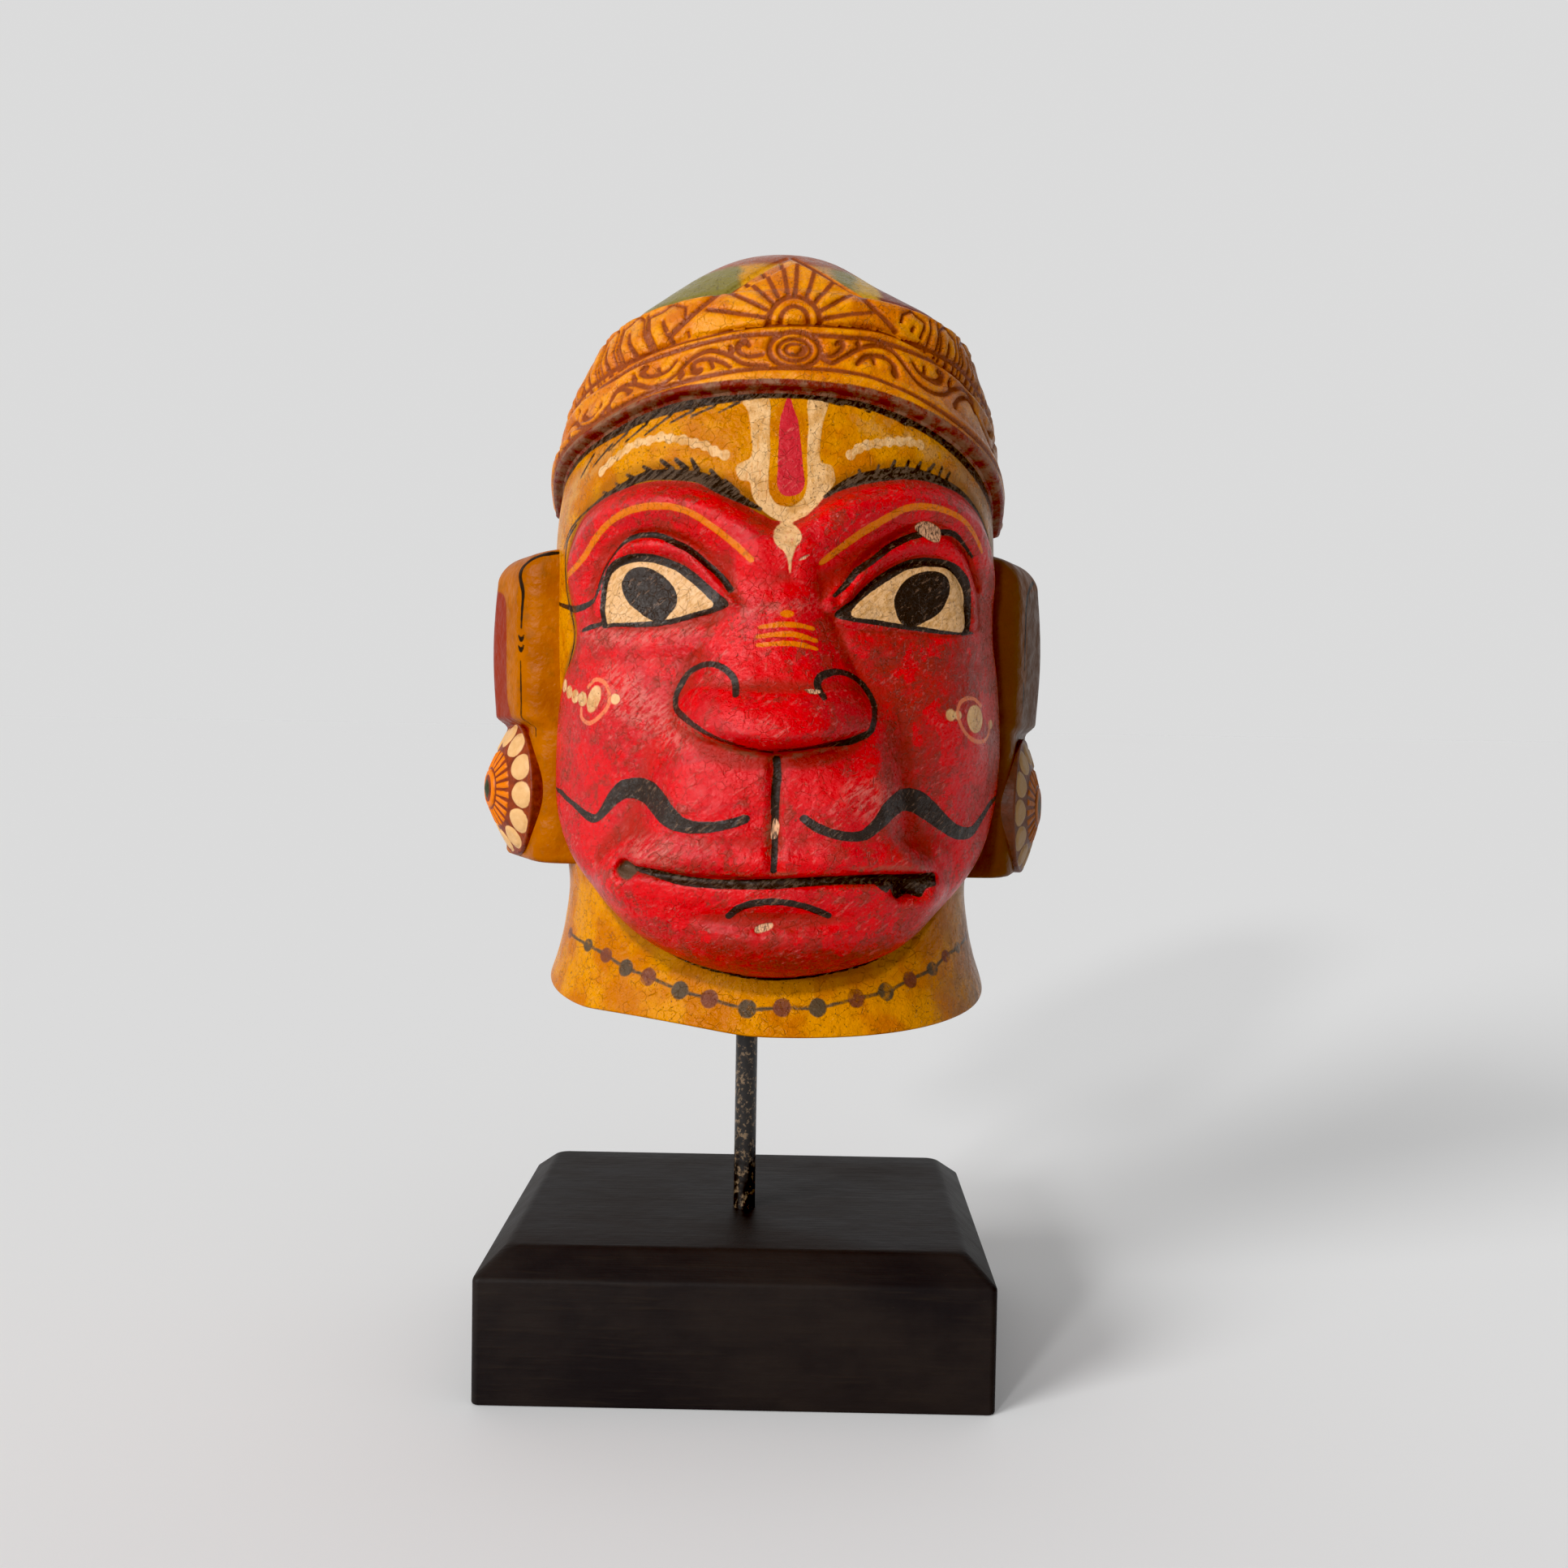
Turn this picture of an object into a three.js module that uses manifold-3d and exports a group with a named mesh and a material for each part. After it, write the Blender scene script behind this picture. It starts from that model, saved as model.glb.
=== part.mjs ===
// A carved and painted wooden monkey mask on a round rod and a bevelled wooden base.
// Millimetres, +Z up. The origin is the middle of the base's underside; the face looks along -Y.

import * as THREE from "three";
import { mergeVertices } from "three/addons/utils/BufferGeometryUtils.js";
import loadManifold from "manifold-3d";

const wasm = await loadManifold();
wasm.setup();

// Driving dimensions of the base and the rod
const BASE_WIDTH = 150;
const BASE_DEPTH = 118;
const BASE_HEIGHT = 44;
const BEVEL_DROP = 7.5;
const BEVEL_RUN = 8.6;
const BASE_EDGE = 0.8;
const ROD_RADIUS = 3.4;
const ROD_X = 1;
const ROD_Y = -10;
const ROD_IN_BASE = 20;
const ROD_SIDES = 24;
const ROD_EDGE = 0.5;
const FIT_GAP = 0.3;

// Driving dimensions of the mask, in its own frame: z = 0 at the front of the neck's cut underside
const MASK_X = 9;
const MASK_Y = 12;
const MASK_Z = 102.5;
const TOP_Z = 248;
const BACK_Y = 25;
const HEAD_HALF = 72;
const HEAD_DEEP = 82;
const DOME_START_Z = 150;
const SECTION_POWER = 0.7;
const DOME_POWER = 2.5;
const NECK_FRONT_Y = -46;
const NECK_CUTS = [
  { z: 0, tilt: 0.16, roll: 0.02 },
  { z: -1.9, tilt: -0.285, roll: 0.195 },
];
const CUT_SIZE = 300;
const CUT_DEPTH = 60;
const ROD_HOLE_TOP = 28;
const WALL = 13;
const HOLLOW_FLOOR = 38;

// Small mathematics

const clamp = (value, low, high) => Math.min(Math.max(value, low), high);

function smooth(from, to, value) {
  const t = clamp((value - from) / (to - from), 0, 1);
  return t * t * (3 - 2 * t);
}

const roundTop = (t) => Math.sqrt(Math.max(0, 1 - t * t));
const softBump = (t) => (Math.abs(t) < 1 ? (1 - t * t) ** 2 : 0);

// A smooth curve through points that never overshoots between them
function curve(points) {
  const count = points.length;
  const slopes = [];
  for (let i = 0; i + 1 < count; i += 1) {
    slopes.push((points[i + 1][1] - points[i][1]) / (points[i + 1][0] - points[i][0]));
  }
  const tangents = [slopes[0]];
  for (let i = 1; i + 1 < count; i += 1) {
    const product = slopes[i - 1] * slopes[i];
    tangents.push(product <= 0 ? 0 : (2 * product) / (slopes[i - 1] + slopes[i]));
  }
  tangents.push(slopes[count - 2]);
  return (x) => {
    const at = clamp(x, points[0][0], points[count - 1][0]);
    let i = 0;
    while (i < count - 2 && at > points[i + 1][0]) i += 1;
    const width = points[i + 1][0] - points[i][0];
    const t = (at - points[i][0]) / width;
    const start = (1 + 2 * t) * (1 - t) ** 2 * points[i][1] + t * (1 - t) ** 2 * width * tangents[i];
    const end = t * t * (3 - 2 * t) * points[i + 1][1] + t * t * (t - 1) * width * tangents[i + 1];
    return start + end;
  };
}

// A line that passes smoothly through its points, in short straight pieces
function smoothLine(points, closed, pieces = 6) {
  const count = points.length;
  const pick = (i) => (closed ? points[(i + count) % count] : points[clamp(i, 0, count - 1)]);
  const line = [];
  for (let i = 0; i < (closed ? count : count - 1); i += 1) {
    const [a, b, c, d] = [pick(i - 1), pick(i), pick(i + 1), pick(i + 2)];
    for (let step = 0; step < pieces; step += 1) {
      const t = step / pieces;
      const at = (k) => 0.5 * (2 * b[k] + (c[k] - a[k]) * t + (2 * a[k] - 5 * b[k] + 4 * c[k] - d[k]) * t * t
        + (3 * b[k] - a[k] - 3 * c[k] + d[k]) * t ** 3);
      line.push([at(0), at(1)]);
    }
  }
  line.push(closed ? line[0] : points[count - 1]);
  return line;
}

function distanceToLine(u, z, line) {
  let nearest = Infinity;
  for (let i = 0; i + 1 < line.length; i += 1) {
    const du = line[i + 1][0] - line[i][0];
    const dz = line[i + 1][1] - line[i][1];
    const along = clamp(((u - line[i][0]) * du + (z - line[i][1]) * dz) / (du * du + dz * dz), 0, 1);
    nearest = Math.min(nearest, Math.hypot(u - line[i][0] - along * du, z - line[i][1] - along * dz));
  }
  return nearest;
}

// How far a point lies inside a closed line, negative outside
function depthInside(u, z, line) {
  let inside = false;
  for (let i = 0; i + 1 < line.length; i += 1) {
    const [u1, z1] = line[i];
    const [u2, z2] = line[i + 1];
    if (z1 > z !== z2 > z && u < ((u2 - u1) * (z - z1)) / (z2 - z1) + u1) inside = !inside;
  }
  return distanceToLine(u, z, line) * (inside ? 1 : -1);
}

// A round mound on the surface, or a hollow where its rise is negative
const mound = (u, z, at) => at.rise * softBump(Math.hypot((u - at.u) / at.reachU, (z - at.z) / at.reachZ));

// The head's plain form. A point on it is given by u, the way round a level section from the middle
// of the face, and by the height z.

const lowHalf = curve([
  [0, 74], [9, 72.3], [18, 69.5], [28, 67.3], [40, 66], [60, 69], [85, 72], [110, 73],
  [DOME_START_Z, HEAD_HALF],
]);
const lowDeep = curve([
  [0, 72], [6, 70], [18, 67], [40, 68], [60, 73], [85, 79], [110, 81.5], [DOME_START_Z, HEAD_DEEP],
]);
const domeSlim = curve([
  [DOME_START_Z, 1], [190, 0.976], [202, 0.955], [210, 0.97], [216, 1], [222, 1.05], [228, 0.97],
  [234, 0.89], [240, 0.86], [TOP_Z, 0.91],
]);
const lean = curve([
  [0, -3], [45, -3], [90, -0.5], [150, -2], [175, -1.5], [205, -0.3], [220, 1.2], [235, -1.4],
  [TOP_Z, -0.5],
]);
const domeRise = (z) => clamp((z - DOME_START_Z) / (TOP_Z - DOME_START_Z), 0, 1);
const half = (z) => (z < DOME_START_Z ? lowHalf(z) : HEAD_HALF * roundTop(domeRise(z)) * domeSlim(z));
const deep = (z) => (z < DOME_START_Z ? lowDeep(z) : HEAD_DEEP * Math.sqrt(1 - domeRise(z) ** DOME_POWER));

// Arc length round the section at the widest height, for each angle from the front
const SECTION_STEPS = 900;
const sectionArc = [[0, 0]];
for (let i = 1; i <= SECTION_STEPS; i += 1) {
  const sectionPoint = (step) => {
    const angle = (Math.PI / 2) * (1 - (1 - step / SECTION_STEPS) ** 3);
    return [angle, HEAD_HALF * Math.sin(angle), HEAD_DEEP * Math.max(0, Math.cos(angle)) ** SECTION_POWER];
  };
  const [, x0, y0] = sectionPoint(i - 1);
  const [angle, x1, y1] = sectionPoint(i);
  sectionArc.push([sectionArc[i - 1][0] + Math.hypot(x1 - x0, y1 - y0), angle]);
}
const U_MAX = sectionArc[SECTION_STEPS][0];

function angleAt(u) {
  const distance = Math.min(Math.abs(u), U_MAX);
  let low = 0;
  let high = SECTION_STEPS;
  while (high - low > 1) {
    const middle = (low + high) >> 1;
    if (sectionArc[middle][0] <= distance) low = middle;
    else high = middle;
  }
  const share = (distance - sectionArc[low][0]) / (sectionArc[high][0] - sectionArc[low][0]);
  return Math.sign(u) * (sectionArc[low][1] + share * (sectionArc[high][1] - sectionArc[low][1]));
}

// The red face: a mass that stands forward of the neck and the cheeks, with a rounded edge

const FACE_OUTLINE = smoothLine([
  [3, 152], [13.5, 159], [26, 164], [43, 166], [62, 164], [79, 157], [89, 146], [88, 132], [84, 121],
  [88, 108], [91, 90], [90, 70], [79, 51], [59, 35.5], [36, 23], [4, 17.5], [-25, 22.5], [-48, 34.5],
  [-67, 50], [-81, 69], [-84, 90], [-78, 105], [-67, 118], [-72, 130], [-76, 141], [-70, 151],
  [-61, 157.5], [-46, 162.5], [-30, 163.5], [-17, 161], [-4, 154],
], true);

const faceRise = curve([
  [16, 17], [40, 17], [60, 12], [80, 9], [100, 6.5], [118, 5], [140, 4.5], [166, 4.5],
]);
const faceEdge = curve([[16, 17], [40, 14], [70, 8], [110, 6], [166, 7]]);
const faceOverhang = curve([[0, 0.7], [50, 0.7], [80, 0.45], [110, 0.3], [TOP_Z, 0.3]]);

function faceMass(u, z) {
  const inside = depthInside(u, z, FACE_OUTLINE);
  if (inside <= 0) return 0;
  const share = Math.min(inside / faceEdge(z), 1);
  const steep = roundTop(1 - share);
  const gentle = smooth(0, 1, share);
  return faceRise(z) * (steep + (gentle - steep) * smooth(120, 150, z));
}

// Muzzle, nose, mouth and chin

const MUZZLE_SHOULDER = 11;
const MUZZLE_SKIRT = 7;
const muzzleHalf = curve([[20, 40], [44, 50], [60, 37], [78, 33], [100, 30]]);
const muzzleRise = curve([[18, 0], [34, 3.5], [44, 6], [56, 9], [74, 9.5], [88, 8], [104, 0]]);

function muzzle(u, z) {
  const reach = muzzleHalf(z);
  return muzzleRise(z) * (1 - smooth(reach - MUZZLE_SHOULDER, reach + MUZZLE_SKIRT, Math.abs(u - 1)));
}

const NOSE_UNDERSIDE_Z = 84.5;
const NOSE_UNDERSIDE_LIFT = 8;
const NOSE_WING_U = 27;
const NOSE_FULLNESS = 2.6;
const NOSE_FLANK = 1.3;
const noseRise = curve([
  [0, 0], [1.2, 4], [3, 10], [6, 13.5], [12, 14.5], [19, 12], [29, 8.5], [39, 6], [50, 3.5], [61, 1.5],
  [70, 0],
]);
const noseHalf = curve([[84, 29], [96, 29], [104, 26], [112, 22], [122, 18], [135, 14], [152, 11]]);

function nose(u, z) {
  const underside = NOSE_UNDERSIDE_Z + NOSE_UNDERSIDE_LIFT * (u / NOSE_WING_U) ** 2;
  const across = Math.abs(u) / noseHalf(z);
  if (across >= 1 || z <= underside) return 0;
  return noseRise(z - underside) * (1 - across ** NOSE_FULLNESS) ** NOSE_FLANK;
}

const MOUTH_LINE = smoothLine([
  [-38, 51.5], [-28, 50], [-14, 48.6], [3, 48.6], [22, 49.3], [34, 49.6], [47, 49],
], false);
const MOUTH_DEPTH = 4.5;
const MOUTH_REACH = 2.6;
const LIP_RISE = 1.6;
const LIP_AWAY = 5;
const LIP_REACH = 7;
const PHILTRUM = [[2.8, 52], [1, 84]];
const PHILTRUM_DEPTH = 1.6;
const PHILTRUM_REACH = 3.2;

// The lower lip stands out half as far as the upper one
function mouth(u, z) {
  const away = distanceToLine(u, z, MOUTH_LINE);
  const lips = LIP_RISE * softBump((away - LIP_AWAY) / LIP_REACH) * (0.5 + 0.5 * smooth(48, 54, z));
  const groove = PHILTRUM_DEPTH * softBump(distanceToLine(u, z, PHILTRUM) / PHILTRUM_REACH);
  return lips - MOUTH_DEPTH * softBump(away / MOUTH_REACH) - groove;
}

const MOUNDS = {
  leftMouthPit: { u: -36.5, z: 50.5, reachU: 5, reachZ: 5, rise: -3 },
  rightMouthPit: { u: 39, z: 46.3, reachU: 8.3, reachZ: 5.2, rise: -7 },
  leftUpperLip: { u: -16, z: 65, reachU: 15, reachZ: 17, rise: 1.8 },
  rightUpperLip: { u: 20, z: 65, reachU: 15, reachZ: 17, rise: 1.8 },
  chin: { u: 2, z: 28, reachU: 34, reachZ: 13, rise: 2.5 },
  underLip: { u: 2, z: 37, reachU: 24, reachZ: 5, rise: -1.6 },
  leftCheek: { u: -56, z: 96, reachU: 30, reachZ: 26, rise: 3 },
  rightCheek: { u: 60, z: 96, reachU: 30, reachZ: 26, rise: 3 },
  leftSocket: { u: -36, z: 134, reachU: 30, reachZ: 23, rise: -5 },
  rightSocket: { u: 41, z: 134, reachU: 33, reachZ: 24, rise: -5 },
};

// Eyes, lids, brows and cheeks

const EYEBALLS = [
  [[-50.5, 123], [-50, 131.5], [-48, 137], [-43, 139.6], [-36.3, 140.4], [-27, 138.2], [-20, 133],
    [-14.4, 127], [-20.5, 125], [-36, 122.1]],
  [[18.5, 123.2], [25, 129.5], [31.7, 135.6], [38.3, 139], [48, 140.8], [56.3, 139.2], [60.5, 132.5],
    [59.6, 122.7], [42.5, 121.9], [29, 122]],
].map((points) => smoothLine(points, true));
const EYEBALL_RISE = 3;
const EYEBALL_SKIRT = 1;
const EYEBALL_EDGE = 9;

// Ridges and folds round the eyes: the line, how high it stands and how far to each side it reaches
const EYE_RIDGES = [
  { rise: 3, reach: 5, points: [[-54, 127], [-53, 137], [-45, 143.8], [-35, 144.5], [-25, 141.5],
    [-17, 134.5], [-11, 128]] },
  { rise: 3, reach: 5, points: [[17, 128], [26, 137], [35, 143], [47, 146.5], [58, 144.5], [65, 136],
    [66, 126]] },
  { rise: -1, reach: 3.5, points: [[-56, 135], [-50, 143], [-41, 147.5], [-33, 148], [-24, 144.5],
    [-17, 138], [-9, 128.5]] },
  { rise: -1, reach: 3.5, points: [[18, 129], [25, 139], [33, 146], [43, 151.3], [53, 151.8],
    [64, 146.5], [70.5, 136]] },
  { rise: 3.2, reach: 11, points: [[-3, 143], [-14, 152], [-30, 158], [-46, 157], [-58, 151],
    [-66, 140]] },
  { rise: 3.2, reach: 11, points: [[10, 143], [22, 153], [38, 160], [54, 160.5], [70, 153], [80, 140]] },
].map(({ rise, reach, points }) => ({ rise, reach, line: smoothLine(points, false) }));

function eyes(u, z) {
  let height = 0;
  for (const outline of EYEBALLS) {
    const inside = depthInside(u, z, outline) + EYEBALL_SKIRT;
    if (inside > 0) height += EYEBALL_RISE * roundTop(1 - Math.min(inside / EYEBALL_EDGE, 1));
  }
  for (const ridge of EYE_RIDGES) {
    height += ridge.rise * softBump(distanceToLine(u, z, ridge.line) / ridge.reach);
  }
  return height;
}

const LEDGE = { z: 118, rise: 1.6, reach: 7, innerU: [14, 22], outerU: [66, 76] };

// The ledge under the eyes, from beside the nose to the outer cheek
function cheekLedge(u, z) {
  const side = Math.abs(u - 2);
  const span = smooth(...LEDGE.innerU, side) * (1 - smooth(...LEDGE.outerU, side));
  return LEDGE.rise * softBump((z - LEDGE.z) / LEDGE.reach) * span;
}

function carving(u, z) {
  const mounds = Object.values(MOUNDS).reduce((sum, at) => sum + mound(u, z, at), 0);
  return faceMass(u, z) + muzzle(u, z) + nose(u, z) + mouth(u, z) + eyes(u, z) + cheekLedge(u, z) + mounds;
}

// The crown: rim, fillets, band, ribs and crest. Heights are counted from the rim's curved lower edge.

const RIM_Z = 190;
const rimZ = curve([
  [-125, 161], [-97, 170.5], [-65, 179.5], [-43, 186], [-29, 188.6], [0, RIM_Z], [25, 189], [37, 187],
  [53, 182.8], [75, 175], [98, 166], [125, 157],
]);
const bandTop = curve([[-120, 16.5], [-60, 18], [-33, 18], [0, 19.7], [21, 20.8], [40, 23], [120, 23.2]]);
const RING_TOP_Z = 222;
const RING_FALL = 12;
const RING_FALL_U = 100;
const ringTopZ = (u) => RING_TOP_Z - RING_FALL * (u / RING_FALL_U) ** 2;
const CROWN_RISE = 4;
const RIB_RISE = 3.2;
const RIB_RUN = 9;
const FILLET_RISE = 1.2;
const FILLET_REACH = 3;
const LOW_FILLET_Z = 5;
const HIGH_FILLET_DROP = 2;
const BAND_GROOVE = { z: 0.6, reach: 1.4, depth: 0.8 };

function crown(u, z) {
  const above = z - rimZ(u);
  const top = bandTop(u);
  const ringEnd = 1 - smooth(-1, 2, z - ringTopZ(u));
  const body = CROWN_RISE * smooth(-0.4, 1.2, above) * ringEnd;
  const ribs = RIB_RISE * smooth(0, RIB_RUN, above - top) * ringEnd;
  const lowFillet = FILLET_RISE * softBump((above - LOW_FILLET_Z) / FILLET_REACH);
  const highFillet = FILLET_RISE * softBump((above - top + HIGH_FILLET_DROP) / FILLET_REACH);
  const groove = BAND_GROOVE.depth * softBump((above - top - BAND_GROOVE.z) / BAND_GROOVE.reach);
  return body + ribs + lowFillet + highFillet - groove;
}

const CREST_MIDDLE_X = 3.5;
const CREST_HALF = 34;
const CREST_FOOT_Z = 211;
const CREST_TOP_Z = 234;
const CREST_FOOT_Y = -50.5;
const CREST_TOP_Y = -31;
const CREST_WRAP = 12;
const CREST_EDGE = 2;

// How far forward the crest's sloping plate brings a point of the dome, this far above the band
function crest(x, y, z, aboveBand) {
  const up = (z - CREST_FOOT_Z) / (CREST_TOP_Z - CREST_FOOT_Z);
  const across = Math.abs(x - CREST_MIDDLE_X);
  const plate = CREST_FOOT_Y + (CREST_TOP_Y - CREST_FOOT_Y) * up + CREST_WRAP * (across / CREST_HALF) ** 2;
  const side = smooth(-CREST_EDGE, CREST_EDGE, CREST_HALF * (1 - Math.max(up, 0)) - across);
  const ends = smooth(0, CREST_EDGE, aboveBand) * smooth(-CREST_EDGE, CREST_EDGE, CREST_TOP_Z - z);
  return side * ends * Math.max(0, y - plate);
}

function maskPoint(u, z) {
  const angle = angleAt(u);
  const sine = Math.sin(angle);
  const cosine = Math.max(0, Math.cos(angle));
  const forward = carving(u, z);
  const outward = crown(u, z);
  const x = lean(z) + (half(z) + outward + faceOverhang(z) * forward) * sine;
  const y = BACK_Y - deep(z) * cosine ** SECTION_POWER - (outward + forward) * cosine;
  return [x, y - crest(x, y, z, z - rimZ(u) - bandTop(u)), z];
}

// Closed bodies

function solidFrom(geometry) {
  const bare = geometry.clone();
  bare.deleteAttribute("normal");
  bare.deleteAttribute("uv");
  const merged = mergeVertices(bare, 1e-4);
  const corners = [];
  for (let i = 0; i < merged.index.count; i += 3) {
    const [a, b, c] = [0, 1, 2].map((k) => merged.index.getX(i + k));
    if (a !== b && b !== c && c !== a) corners.push(a, b, c);
  }
  return new wasm.Manifold(new wasm.Mesh({
    numProp: 3,
    vertProperties: new Float32Array(merged.attributes.position.array),
    triVerts: new Uint32Array(corners),
  }));
}

function geometryFrom(solid) {
  const mesh = solid.getMesh();
  const geometry = new THREE.BufferGeometry();
  geometry.setAttribute("position", new THREE.BufferAttribute(new Float32Array(mesh.vertProperties), 3));
  geometry.setIndex(new THREE.BufferAttribute(new Uint32Array(mesh.triVerts), 1));
  geometry.computeVertexNormals();
  return geometry;
}

// Of the two ways to part a four-cornered patch, the one that bends less
function partPatch(points, a, b, c, d) {
  const at = (i) => new THREE.Vector3(points[3 * i], points[3 * i + 1], points[3 * i + 2]);
  const normal = (i, j, k) => at(j).sub(at(i)).cross(at(k).sub(at(i))).normalize();
  const bend = (one, two) => normal(...one).dot(normal(...two));
  const rising = [[a, b, c], [a, c, d]];
  const falling = [[a, b, d], [b, c, d]];
  return (bend(...rising) >= bend(...falling) ? rising : falling).flat();
}

// A body through a pile of rings with the same number of points each, closed flat at both ends. Rings
// run counterclockwise seen from the far end of the pile.
function pile(rings) {
  const positions = rings.flat(2);
  const size = rings[0].length;
  const faces = [];
  for (let level = 0; level + 1 < rings.length; level += 1) {
    for (let i = 0; i < size; i += 1) {
      const [a, b] = [level * size + i, level * size + ((i + 1) % size)];
      faces.push(...partPatch(positions, a, b, b + size, a + size));
    }
  }
  const close = (start, facing) => {
    for (let low = 0, high = size - 1; high - low > 1; low += 1, high -= 1) {
      const patch = [[low, high, low + 1]];
      if (high - low > 2) patch.push([low + 1, high, high - 1]);
      for (const corners of patch) {
        const [a, b, c] = corners.map((corner) => corner + start);
        faces.push(...(facing > 0 ? [a, c, b] : [a, b, c]));
      }
    }
  };
  close(0, -1);
  close((rings.length - 1) * size, 1);
  const geometry = new THREE.BufferGeometry();
  geometry.setAttribute("position", new THREE.BufferAttribute(new Float32Array(positions), 3));
  geometry.setIndex(faces);
  return geometry;
}

// Steps along a way, given as stretches of [end, count]
function steps(start, stretches) {
  const values = [start];
  for (const [end, count] of stretches) {
    const from = values[values.length - 1];
    for (let i = 1; i <= count; i += 1) values.push(from + ((end - from) * i) / count);
  }
  return values;
}

const halfColumns = steps(0, [[33, 11], [72, 10], [U_MAX, 6]]);
const columns = [...halfColumns.slice(1).reverse().map((u) => -u), ...halfColumns];
const rows = steps(-4, [[12, 2], [36, 7], [46, 4], [54, 5], [80, 6], [94, 7], [118, 6], [150, 10], [186, 6],
  [198, 5], [212, 4], [235, 7], [TOP_Z - 0.4, 3]]);

// Rows follow the crown's rim where they pass it
function rowHeight(u, z) {
  const share = smooth(60, RIM_Z, z) * (1 - smooth(RIM_Z + 38, TOP_Z, z));
  return z + (rimZ(u) - RIM_Z) * share;
}

function headSolid() {
  return solidFrom(pile(rows.map((z) => columns.map((u) => maskPoint(u, rowHeight(u, z))))));
}

const HOLLOW_COLUMNS = 16;
const HOLLOW_ROWS = 11;
const HOLLOW_TOP_Z = TOP_Z - WALL;
const HOLLOW_ROOF = 0.99;
const HOLLOW_OPEN_Y = BACK_Y + 2;

// The carver's hollow: the head's form drawn in by the wall, open through the flat back
function hollowSolid() {
  const rings = [];
  for (let row = 0; row <= HOLLOW_ROWS; row += 1) {
    const z = HOLLOW_FLOOR + (HOLLOW_TOP_Z - HOLLOW_FLOOR) * (1 - (1 - row / HOLLOW_ROWS) ** 1.5);
    const rise = clamp((z - DOME_START_Z) / (HOLLOW_TOP_Z - DOME_START_Z), 0, HOLLOW_ROOF);
    const side = (lowHalf(Math.min(z, DOME_START_Z)) - WALL) * roundTop(rise);
    const reach = (lowDeep(Math.min(z, DOME_START_Z)) - WALL) * Math.sqrt(1 - rise ** DOME_POWER);
    const ring = [[lean(z) - side, HOLLOW_OPEN_Y, z]];
    for (let column = 0; column <= HOLLOW_COLUMNS; column += 1) {
      const angle = Math.PI * (column / HOLLOW_COLUMNS - 0.5);
      const depth = reach * Math.max(0, Math.cos(angle)) ** SECTION_POWER;
      ring.push([lean(z) + side * Math.sin(angle), BACK_Y - depth, z]);
    }
    ring.push([lean(z) + side, HOLLOW_OPEN_Y, z]);
    rings.push(ring);
  }
  return solidFrom(pile(rings));
}

// Ears: blocks left standing at the sides, with a disc on the lower part of each slanted outer face

const EAR_TOP_Z = 149;
const EAR_FRONT_Y = -14;
const EAR_NOTCH_Z = 92;
const EAR_CORNER = 9;
const EAR_SWELL = { z: 116, reach: 30, rise: 1.5 };
const DISC_RADIUS = 22;
const DISC_SIDES = 24;
const DISC_RINGS = 4;
const DISC_ROOT = 3;
const DISC_EDGE = 1.2;
const DISC_SHOULDER = 2;
const DISC_POINT = 1.3;
const EARS = [
  { side: -1, bottom: 47.8, front: 81, out: 93.5, back: 8, lowFront: 76.5, lowOut: 92.5, lowBack: 22,
    discZ: 70.9, discRise: 12 },
  { side: 1, bottom: 45.5, front: 74.5, out: 85, back: 10, lowFront: 74, lowOut: 83.6, lowBack: 22,
    discZ: 67.8, discRise: 8 },
];
const EAR_ROOT_X = 56;
const EAR_NOTCH_FROM = EAR_NOTCH_Z - 1.5;
const EAR_NOTCH_TO = EAR_NOTCH_Z + 2.5;

function earPlan(ear, z) {
  const upper = smooth(EAR_NOTCH_FROM, EAR_NOTCH_TO, z);
  const mix = (low, high) => low + (high - low) * upper;
  const swell = EAR_SWELL.rise * softBump((z - EAR_SWELL.z) / EAR_SWELL.reach);
  const corner = Math.max(0, z - (EAR_TOP_Z - EAR_CORNER)) / EAR_CORNER;
  const drawn = EAR_CORNER * (1 - roundTop(corner));
  const front = mix(ear.lowFront, ear.front) - drawn;
  const out = mix(ear.lowOut, ear.out) + swell - drawn;
  const back = mix(ear.lowBack, ear.back);
  const slope = (back - EAR_FRONT_Y) / (out - front);
  return [
    [EAR_ROOT_X, EAR_FRONT_Y], [front - 2, EAR_FRONT_Y], [front, EAR_FRONT_Y + 1],
    [out - 1.5, back - 1.5 * slope], [out, Math.min(back + 3, BACK_Y - 0.5)], [out, BACK_Y],
    [EAR_ROOT_X, BACK_Y],
  ].map(([x, y]) => [ear.side * x, y, z]);
}

function earSolid(ear) {
  const levels = steps(ear.bottom, [[EAR_NOTCH_FROM, 2], [EAR_NOTCH_TO, 2], [EAR_TOP_Z - EAR_CORNER, 4],
    [EAR_TOP_Z - 0.5, 4]]);
  const rings = levels.map((z) => {
    const plan = earPlan(ear, z);
    return ear.side > 0 ? plan : plan.reverse();
  });
  return solidFrom(pile(rings));
}

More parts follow.
